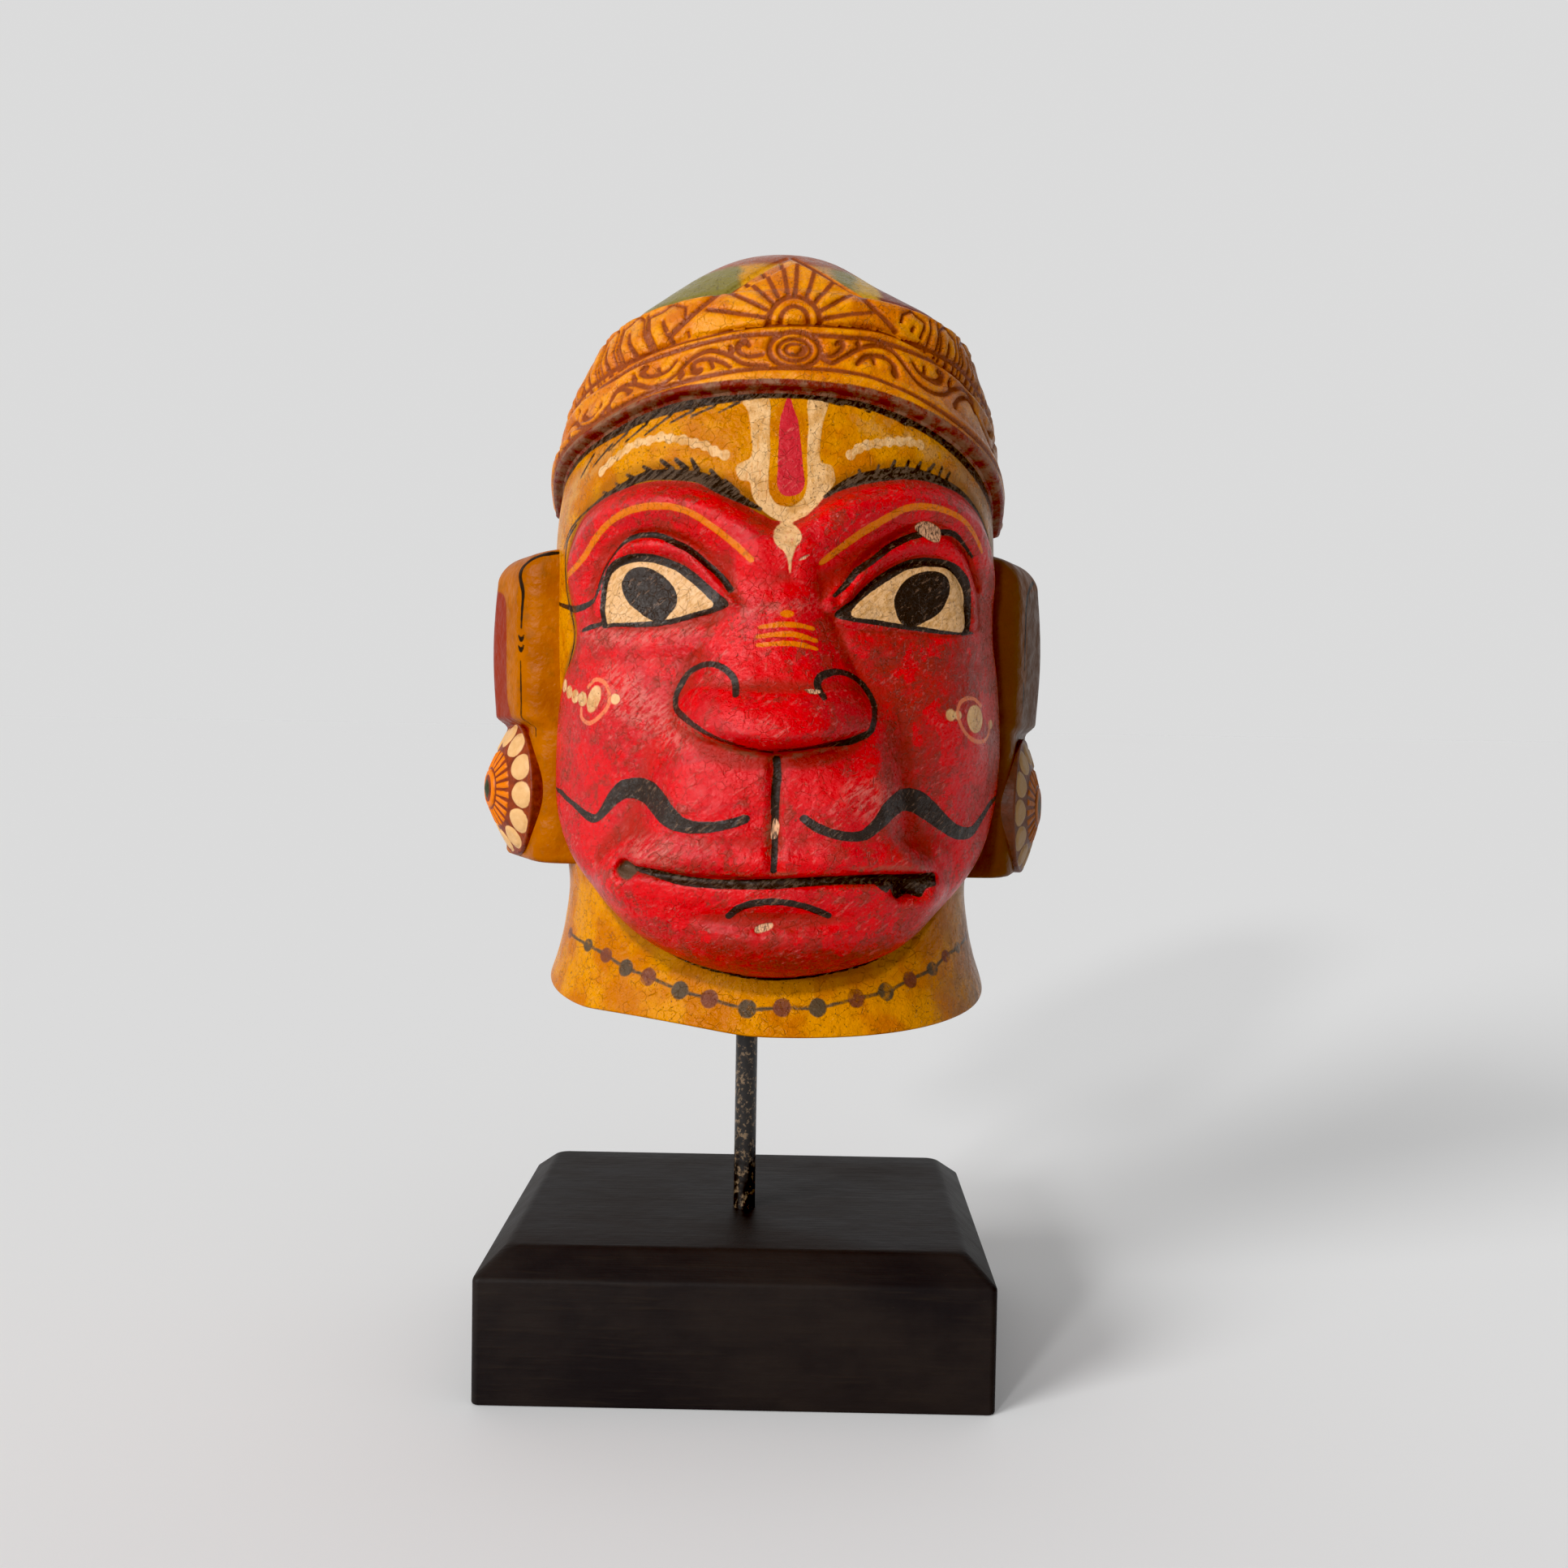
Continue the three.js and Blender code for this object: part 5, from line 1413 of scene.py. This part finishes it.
# Painted shade: the red of the creases and of the right side.
RED_CREASE_SHADE = srgb(140, 80, 56)
RED_RIGHT_SHADE = srgb(122, 60, 40)
RED_BROWN = srgb(158, 40, 26)
RED_SPECK = srgb(156, 94, 70)
RED_RUBBED = srgb(206, 110, 98)
GROOVE = srgb(140, 66, 26)
GROOVE_EDGE = srgb(204, 100, 0)
RIM_RED = srgb(122, 40, 24)
RIM_GREY = srgb(136, 96, 72)
DOME_GREEN = srgb(124, 112, 46)
DOME_YELLOW = srgb(206, 140, 8)
DOME_RED = srgb(150, 66, 16)
DOME_TAN = srgb(186, 132, 66)
DOME_GOLD = srgb(196, 150, 30)
DOME_BROWN = srgb(124, 52, 34)

# Where each stripe of the dome starts to show and is full, across the mask, over a green ground
DOME_STRIPES = [
    [-7, -3, DOME_YELLOW], [11, 15, DOME_TAN], [22, 25, DOME_GREEN], [29, 33, DOME_GOLD],
    [37, 40, DOME_BROWN],
]
WOOD = srgb(150, 104, 62)
WOOD_DARK = srgb(96, 62, 36)
WOOD_PALE = srgb(176, 128, 80)
WOOD_DUST = srgb(84, 60, 42)
EAR_DEEP = srgb(154, 80, 0)
EAR_OCHRE = srgb(170, 93, 0)
EAR_SHADE = srgb(84, 50, 18)
# Painted shade of the right ear's red field.
EAR_MAROON = srgb(134, 44, 22)
EAR_RED_RIGHT_SHADE = srgb(92, 66, 50)
DISC_BROWN = srgb(138, 54, 20)
DISC_DEEP = srgb(104, 40, 20)
DISC_BOSS = srgb(48, 54, 30)
# Painted shade of the right disc.
DISC_RIGHT_SHADE = srgb(78, 64, 50)
STAIN = srgb(34, 31, 31)
STAIN_PALE = srgb(42, 37, 35)
STAIN_GRAIN = srgb(46, 40, 36)
STAIN_SCRATCH = srgb(92, 76, 64)
ROD_BLACK = srgb(26, 22, 20)
ROD_WORN = srgb(112, 92, 70)
FLOOR = srgb(241, 241, 241)
BACKDROP = srgb(220, 220, 220)[0]


def ochre_layer(paint, wear_and_shade):
    """The ochre ground of the forehead, the head's sides and the neck, with grime, and painted shade in the
    hollows and on the right side.
    """
    smears = paint.all_of(paint.edge("pale", softness=2.5), paint.ramp(wear_and_shade["rubbed"], 0.38, 0.6, 0.05, 0.8))
    # Painted shade: the right side of the head and the neck darkens.
    painted_shade = paint.all_of(paint.ramp(paint.x, 46, 80), paint.ramp(wear_and_shade["rubbed"], 0.3, 0.6, 0.35, 0.95))
    return paint.coats(
        paint.mix(paint.ramp(wear_and_shade["coarse"], 0.4, 0.6), OCHRE_DEEP, OCHRE),
        (paint.all_of(wear_and_shade["scuff"], 0.3), TAN),
        (smears, TAN),
        # Grime spots, and painted shade in the hollows.
        (paint.all_of(wear_and_shade["grime"], 0.6), OCHRE_DIRT_AND_SHADE),
        (painted_shade, HEAD_RIGHT_SHADE),
    )


def red_layer(paint, wear_and_shade):
    """The face's red: bright patches and rubbed pinkish ones, with grime, and painted shade: dark patches
    under the eyes, over the right cheek and along the jaw, dark lines under the nose and in the creases,
    darker hollows and a darker right side.
    """
    mottle = wear_and_shade["mottle"]
    brown = paint.all_of(paint.ramp(mottle, 0.49, 0.54), paint.ramp(wear_and_shade["coarse"], 0.42, 0.6, 0.25, 0.9))
    # Painted shade: the dark patches under the eyes, on the right cheek and along the jaw.
    shade_patches = paint.all_of(paint.edge("shade_patches", softness=5.0), paint.ramp(mottle, 0.36, 0.56, 0.3, 0.9))
    rough_edge = paint.math("MULTIPLY_ADD", mottle, 5.0, -2.5)
    fresh = paint.largest(paint.ramp(wear_and_shade["fresh"], 0.56, 0.585), paint.edge("patch", rough_edge, 0.4))
    rub = paint.all_of(paint.edge("rub", softness=3.0), paint.ramp(wear_and_shade["scratch"], 0.44, 0.58))
    # Painted shade: the dark lines under the nose and in the creases.
    painted_shade = paint.all_of(paint.edge("painted_shade", softness=0.8), paint.ramp(mottle, 0.45, 0.56, 0.1, 0.85))
    return paint.coats(
        paint.mix(paint.ramp(wear_and_shade["patch"], 0.44, 0.5), RED_BRIGHT, RED_DULL),
        (brown, RED_BROWN),
        (shade_patches, RED_SHADE_AND_GRIME),
        (paint.all_of(fresh, 0.85), RED_BRIGHT),
        (paint.all_of(rub, 0.6), RED_RUBBED),
        (paint.all_of(wear_and_shade["scuff"], 0.7), RED_WORN),
        (paint.all_of(wear_and_shade["speck"], 0.55), RED_SPECK),
        # Grime spots, and painted shade in the hollows.
        (paint.all_of(wear_and_shade["grime"], 0.7), RED_SHADE_AND_GRIME),
        (painted_shade, RED_CREASE_SHADE),
        # Painted shade: the red greys and darkens towards the right side.
        (paint.all_of(paint.ramp(paint.x, 62, 92), 0.75), RED_RIGHT_SHADE),
    )


def crown_layer(paint, wear_and_shade, wobble):
    """The carved crown: ochre with brown cut lines, with painted shade that darkens it and its lines towards
    the right.
    """
    # Painted shade: the crown and its cut lines darken towards the right.
    right = paint.ramp(paint.x, 40, 82)
    return paint.coats(
        paint.mix(paint.ramp(wear_and_shade["coarse"], 0.4, 0.6), CROWN_OCHRE, CROWN_DEEP),
        (paint.all_of(wear_and_shade["scuff"], 0.4), PETAL_PALE),
        (paint.all_of(paint.edge("groove", wobble, 0.6, 0.35), 0.6), GROOVE_EDGE),
        (paint.all_of(right, paint.ramp(wear_and_shade["rubbed"], 0.25, 0.6, 0.3, 0.95)), CROWN_RIGHT_SHADE),
        (paint.edge("groove", wobble, 0.32), paint.mix(paint.all_of(right, 0.6), GROOVE, GROOVE_RIGHT_SHADE)),
    )


def dome_layer(paint, wear_and_shade):
    """The dome behind the crest: stripes of faded colours."""
    side = paint.math("ADD", paint.x, paint.math("MULTIPLY_ADD", wear_and_shade["coarse"], 10.0, -5.0))
    high = paint.math("MULTIPLY_ADD", wear_and_shade["medium"], 3.0, paint.z)
    stripes = [(paint.ramp(side, start, end), stripe) for start, end, stripe in DOME_STRIPES]
    return paint.coats(DOME_GREEN, *stripes, (paint.ramp(high, 338.5, 342), DOME_RED))


def mask_wear_and_shade(paint):
    """The noises that wear the mask's paint, with grime spots and the painted shade of its hollows, and the
    wobble of its painted edges.
    """
    wear_and_shade = {
        "fine": paint.noise(0.9, 3, 0.6),
        "medium": paint.noise(3.5, 4, 0.55),
        "coarse": paint.noise(13, 4, 0.55),
        "patch": paint.noise(17, 8, 0.68, shift=7),
        "mottle": paint.noise(4.2, 8, 0.76, stretch=(1.5, 1, 0.9), shift=21, tilt=0.7),
        "fresh": paint.noise(15, 6, 0.6, shift=44),
        "rubbed": paint.noise(6, 7, 0.7, shift=15),
        "scratch": paint.noise(1.5, 5, 0.7, stretch=(3.2, 1, 0.6), shift=3, tilt=0.7),
        "grain": paint.noise(2.2, 5, 0.68, stretch=(0.4, 0.4, 3.0), shift=5),
        "speck": paint.ramp(paint.noise(1.1, 4, 0.7, shift=51), 0.62, 0.67),
    }
    scuffs = paint.ramp(wear_and_shade["scratch"], 0.56, 0.61)
    wear_and_shade["scuff"] = paint.all_of(scuffs, paint.ramp(wear_and_shade["rubbed"], 0.48, 0.58))
    spots = paint.ramp(paint.noise(1.6, 6, 0.75, shift=31), 0.6, 0.66)
    # Grime spots, and painted shade in the hollows: the deeper a point lies below its surroundings, the
    # darker.
    wear_and_shade["grime"] = paint.largest(paint.ramp(paint.field("cavity"), 0.1, 0.55), spots)
    wobble = paint.math("MULTIPLY_ADD", wear_and_shade["medium"], 0.5, -0.25)
    return wear_and_shade, paint.math("ADD", wobble, paint.math("MULTIPLY_ADD", wear_and_shade["fine"], 0.36, -0.18))


def mask_paint():
    """All the paint of the mask's outside, from the ground up."""
    paint = Paint("mask_paint")
    wear_and_shade, wobble = mask_wear_and_shade(paint)
    rubbed = wear_and_shade["rubbed"]
    scratch = wear_and_shade["scratch"]
    above = paint.math("ADD", paint.field("above"), wobble)
    behind = paint.math("ADD", paint.field("behind"), wobble)

    red, ink, iris = (paint.edge(name, wobble) for name in ("red", "ink", "iris"))
    chip = paint.edge("chip", wobble, 0.2)
    in_crown = paint.ramp(above, 2.2, 2.9)
    on_rim = paint.all_of(paint.ramp(above, -1.1, -0.7), paint.ramp(above, 2.9, 2.3))
    cream = paint.all_of(paint.edge("cream", wobble, 0.25), paint.ramp(wear_and_shade["grain"], 0.32, 0.46, 0.45, 0.95))
    bead = paint.ramp(rubbed, 0.36, 0.5, 0.55, 0.95)
    worn_ink = paint.mix(paint.ramp(scratch, 0.56, 0.64), INK, INK_WORN)
    bare_grain = paint.noise(0.8, 2, 0.5, stretch=(0.3, 1, 3))
    cracks = paint.all_of(paint.cracks(3.0, 0.035), paint.ramp(wear_and_shade["mottle"], 0.46, 0.56))
    holes = paint.ramp(paint.noise(0.8, 2, 0.5, shift=11), 0.66, 0.73)
    holes = paint.all_of(holes, paint.ramp(wear_and_shade["coarse"], 0.42, 0.55))
    colour = paint.coats(
        paint.mix(red, ochre_layer(paint, wear_and_shade), red_layer(paint, wear_and_shade)),
        (cream, paint.mix(paint.ramp(rubbed, 0.35, 0.6), CREAM_WORN, CREAM)),
        (paint.all_of(paint.edge("rings", wobble), 0.85), RING_ORANGE),
        (paint.edge("crimson", wobble), paint.mix(paint.all_of(wear_and_shade["scuff"], 0.7), CRIMSON, RED_RUBBED)),
        (paint.all_of(paint.edge("ochre", wobble), 0.95), LINE_OCHRE),
        (paint.all_of(paint.edge("bead_dark", wobble, 0.3), bead), BEAD_DARK),
        (paint.all_of(paint.edge("bead_maroon", wobble, 0.3), bead), BEAD_MAROON),
        (paint.edge("hair", wobble, 0.25), paint.mix(paint.ramp(scratch, 0.44, 0.56), INK, HAIR_GREY)),
        (ink, worn_ink),
        (paint.edge("white", wobble), paint.mix(paint.ramp(scratch, 0.42, 0.62), EYE_CREAM, CREAM_WORN)),
        (iris, worn_ink),
        (in_crown, crown_layer(paint, wear_and_shade, wobble)),
        (on_rim, paint.mix(paint.ramp(rubbed, 0.42, 0.6), RIM_RED, RIM_GREY)),
        (paint.ramp(behind, -0.3, 0.3), dome_layer(paint, wear_and_shade)),
        (chip, paint.mix(paint.ramp(bare_grain, 0.45, 0.6), BARE, PIT)),
        (paint.edge("pit", wobble, 0.5), paint.mix(wear_and_shade["medium"], PIT, HAIR_GREY)),
        (paint.edge("gap", wobble), paint.mix(paint.ramp(scratch, 0.5, 0.6), GAP_DARK, HAIR_GREY)),
        (paint.all_of(cracks, 0.4), PIT),
        (paint.all_of(holes, 0.7), PIT),
    )

    paint.height(paint.noise(8, 3, 0.5), 1.1)
    for name, amount in (("medium", 0.65), ("mottle", 0.3), ("scratch", 0.25), ("fine", 0.16)):
        paint.height(wear_and_shade[name], amount)
    paint.height(paint.largest(chip, holes), -0.3)
    paint.height(cracks, -0.15)
    for name, amount in (("ink", 0.06), ("cream", 0.08)):
        paint.height(paint.edge(name, wobble, 0.3), amount)
    rough = paint.blend(paint.largest(chip, wear_and_shade["grime"]), paint.ramp(rubbed, 0.35, 0.65, 0.2, 0.4), 0.8)
    shine = paint.blend(paint.largest(ink, in_crown), paint.blend(red, 0.12, 0.2), 0.28)
    varnish = paint.blend(paint.largest(iris, in_crown), paint.blend(red, 0.08, 0.3), 0.06)
    return paint.finish(colour, rough, shine, Coat_Weight=varnish, Coat_Roughness=0.12)


def wood_grain(paint):
    return paint.noise(1.6, 5, 0.6, stretch=(1, 1, 14))


def ear_paint():
    """Ochre, with a dark red field outside, and bare wood behind. Painted shade darkens the right ear and
    greys its red field.
    """
    paint = Paint("ear_paint")
    medium = paint.noise(3.5, 4, 0.55)
    wobble = paint.math("MULTIPLY_ADD", medium, 0.5, -0.25)
    # Painted shade: the right ear darkens and its red field greys.
    right = paint.ramp(paint.x, 20, 60)
    back_y = MASK_AT[1] + BACK_Y
    colour = paint.coats(
        paint.mix(paint.ramp(paint.noise(13, 4, 0.55), 0.35, 0.65), EAR_DEEP, EAR_OCHRE),
        (paint.all_of(paint.ramp(medium, 0.5, 0.75), 0.4), OCHRE_DIRT_AND_SHADE),
        (paint.all_of(right, 0.85), EAR_SHADE),
        (paint.edge("red", wobble, 0.5), paint.mix(right, EAR_MAROON, EAR_RED_RIGHT_SHADE)),
        (paint.edge("ink", wobble, 0.2), INK),
        (paint.ramp(paint.y, back_y - 0.85, back_y - 0.5),
         paint.mix(paint.ramp(wood_grain(paint), 0.3, 0.7), WOOD, WOOD_DARK)),
    )
    paint.height(paint.noise(9, 3, 0.5), 0.9)
    paint.height(medium, 0.35)
    paint.height(paint.noise(0.9, 3, 0.6), 0.08)
    return paint.finish(colour, paint.ramp(medium, 0.2, 0.8, 0.3, 0.55), 0.12)


def disc_paint():
    """Brown, with ochre petals, cream ovals and a green boss. Painted shade greys the right disc."""
    paint = Paint("disc_paint")
    medium = paint.noise(2.5, 4, 0.55)
    wobble = paint.math("MULTIPLY_ADD", medium, 0.7, -0.35)
    colour = paint.coats(
        paint.mix(paint.ramp(medium, 0.3, 0.7), DISC_BROWN, DISC_DEEP),
        (paint.edge("petals", wobble, 0.2), LINE_OCHRE),
        (paint.edge("ring", wobble, 0.2), LINE_OCHRE),
        (paint.edge("boss", wobble, 0.3), DISC_BOSS),
        (paint.edge("ovals", wobble, 0.2), paint.mix(medium, CREAM, CREAM_WORN)),
        # Painted shade: the right disc greys.
        (paint.all_of(paint.ramp(paint.x, 0, 40), 0.62), DISC_RIGHT_SHADE),
    )
    paint.height(paint.noise(4, 3, 0.5), 0.4)
    paint.height(medium, 0.25)
    return paint.finish(colour, 0.45, 0.25)


def wood_paint():
    """Bare carved wood: grain along the height, gouge marks and dust."""
    paint = Paint("bare_wood")
    grain = wood_grain(paint)
    broad = paint.noise(7, 3, 0.5, stretch=(1, 1, 5), shift=4)
    patches = paint.noise(30, 4, 0.6, shift=9)
    colour = paint.coats(
        paint.mix(paint.ramp(grain, 0.3, 0.7), WOOD, WOOD_DARK),
        (paint.all_of(paint.ramp(broad, 0.4, 0.65), 0.5), WOOD_PALE),
        (paint.all_of(paint.ramp(patches, 0.5, 0.7), 0.45), WOOD_DUST),
    )
    spot = paint.vector("MULTIPLY", paint.spot, (1 / 9, 1 / 9, 1 / 22))
    gouges = paint.make("TexVoronoi", {"Vector": spot, "Scale": 1.0}, feature="SMOOTH_F1")
    paint.height(gouges.outputs["Distance"], 1.1)
    paint.height(grain, 0.25)
    return paint.finish(colour, 0.75, 0.25)


def base_paint():
    """Black-brown stain over a grain that runs along the width, with pale scratches."""
    paint = Paint("black_stain")
    grain = paint.noise(1.2, 5, 0.6, stretch=(18, 1, 1))
    patches = paint.noise(26, 4, 0.6, stretch=(2, 1, 1))
    scratch = paint.noise(2.4, 6, 0.75, stretch=(3, 1, 1), shift=5)
    colour = paint.coats(
        paint.mix(paint.ramp(patches, 0.35, 0.65), STAIN, STAIN_PALE),
        (paint.all_of(paint.ramp(grain, 0.5, 0.75), 0.5), STAIN_GRAIN),
        (paint.all_of(paint.ramp(scratch, 0.68, 0.78), 0.5), STAIN_SCRATCH),
    )
    paint.height(grain, 0.12)
    paint.height(paint.noise(5, 3, 0.5), 0.15)
    return paint.finish(colour, paint.ramp(patches, 0.2, 0.8, 0.45, 0.6), 0.12)


def rod_paint():
    """Black, worn through to brown in spots."""
    paint = Paint("rod_black")
    colour = paint.mix(paint.ramp(paint.noise(1.6, 5, 0.7), 0.52, 0.62), ROD_BLACK, ROD_WORN)
    paint.height(paint.noise(2.5, 3, 0.5), 0.12)
    return paint.finish(colour, 0.28, 0.6)


# Building the pieces

across = columns[None, :]
low_z = row_height(across, low_rows[:, None])
low_z = low_z + cut_heights() * np.clip(1 - low_rows[:, None] / NECK_REACH, 0, None)
neck_worn = NECK_EDGE * (1 - round_top(1 - np.clip(low_rows[:, None] / NECK_EDGE, 0, 1)))
face_piece, face_points = outside_piece("mask_face", across, low_z, neck_worn)
crown_piece, crown_points = outside_piece("mask_crown", across, row_height(across, high_rows[:, None]))
mask_material = mask_paint()
finish_piece(face_piece, mask_material, "painted_wood", "mask")
finish_piece(crown_piece, mask_material, "painted_wood")
back_edges = [np.concatenate([face_points[:, k], crown_points[1:, k]]) for k in (0, -1)]
finish_piece(build_back(back_edges, face_points[0]), wood_paint(), "painted_wood")
ear_material = ear_paint()
disc_material = disc_paint()
for ear_name, ear_sizes in EARS.items():
    finish_piece(build_ear(ear_name, ear_sizes), ear_material, "painted_wood")
    finish_piece(build_disc(ear_name, ear_sizes), disc_material, "painted_wood")
finish_piece(build_base(), base_paint(), "dark_wood", "base")
finish_piece(build_rod(), rod_paint(), "black_metal", "rod")

# Floor, light and camera

FLOOR_HALF = 60.0
FLOOR_FRONT = -3.0
SKY_TOP = 0.5
ROOM_FRONT = 0.3
BLACK_LEVEL = 0.016

# Each sun: where its light comes from, its strength and how wide it is in degrees

SUNS = {"key": [(-0.70, -0.60, 0.37), 2.35, 24], "glint": [(-0.40, -0.86, 0.28), 0.9, 6]}

floor_mesh = bpy.data.meshes.new("floor")
floor_corners = [(x, y, 0) for y in (FLOOR_FRONT, FLOOR_HALF) for x in (-FLOOR_HALF, FLOOR_HALF)]
floor_mesh.from_pydata(floor_corners, [], [(0, 1, 3, 2)])
floor_mesh.materials.append(Paint("pale_floor").finish(FLOOR, 0.9, 0.0))
floor = bpy.data.objects.new("floor", floor_mesh)
bpy.context.collection.objects.link(floor)

world = bpy.data.worlds.new("studio")
bpy.context.scene.world = world
world.use_nodes = True
room = Nodes(world.node_tree)
toward = room.make("TexCoord", {}).outputs["Generated"]
_, toward_back, toward_top = room.make("SeparateXYZ", {0: toward}).outputs
wall = room.ramp(toward_back, 0.35, 0.72, ROOM_FRONT, BACKDROP)
ceiling = room.ramp(toward_top, 0.48, 0.85, 0.0, SKY_TOP)
glow = room.make("Background", {"Color": (1, 1, 1, 1), "Strength": room.largest(wall, ceiling)})
room.make("OutputWorld", {"Surface": glow.outputs[0]})

for name, (light_from, energy, angle) in SUNS.items():
    sun = bpy.data.lights.new(name, "SUN")
    sun.energy = energy
    sun.angle = math.radians(angle)
    sun_object = bpy.data.objects.new(name, sun)
    sun_object.rotation_euler = Vector(light_from).to_track_quat("Z", "Y").to_euler()
    bpy.context.collection.objects.link(sun_object)

CAMERA_AT = Vector((15.1, -498.7, 196.0)) * MM
YAW = math.radians(0.44)
PITCH = math.radians(2.19)
ROLL = math.radians(0.96)
forward = Vector((-math.sin(YAW) * math.cos(PITCH), math.cos(YAW) * math.cos(PITCH), -math.sin(PITCH)))
level = Vector((math.cos(YAW), math.sin(YAW), 0))
upright = level.cross(forward)
rightward = math.cos(ROLL) * level + math.sin(ROLL) * upright
upward = -math.sin(ROLL) * level + math.cos(ROLL) * upright
camera = bpy.data.cameras.new("camera")
camera.sensor_width = 36
camera.sensor_height = 36
camera.sensor_fit = "HORIZONTAL"
camera.lens = 36
camera.clip_start = 0.01
camera.clip_end = 200
camera_object = bpy.data.objects.new("camera", camera)
turn = Matrix((rightward, upward, -forward)).transposed().to_4x4()
camera_object.matrix_world = Matrix.Translation(CAMERA_AT) @ turn
bpy.context.collection.objects.link(camera_object)
bpy.context.scene.camera = camera_object

view = bpy.context.scene.view_settings
view.view_transform = "Standard"
view.use_curve_mapping = True
view.curve_mapping.black_level = (BLACK_LEVEL, BLACK_LEVEL, BLACK_LEVEL)
view.curve_mapping.update()
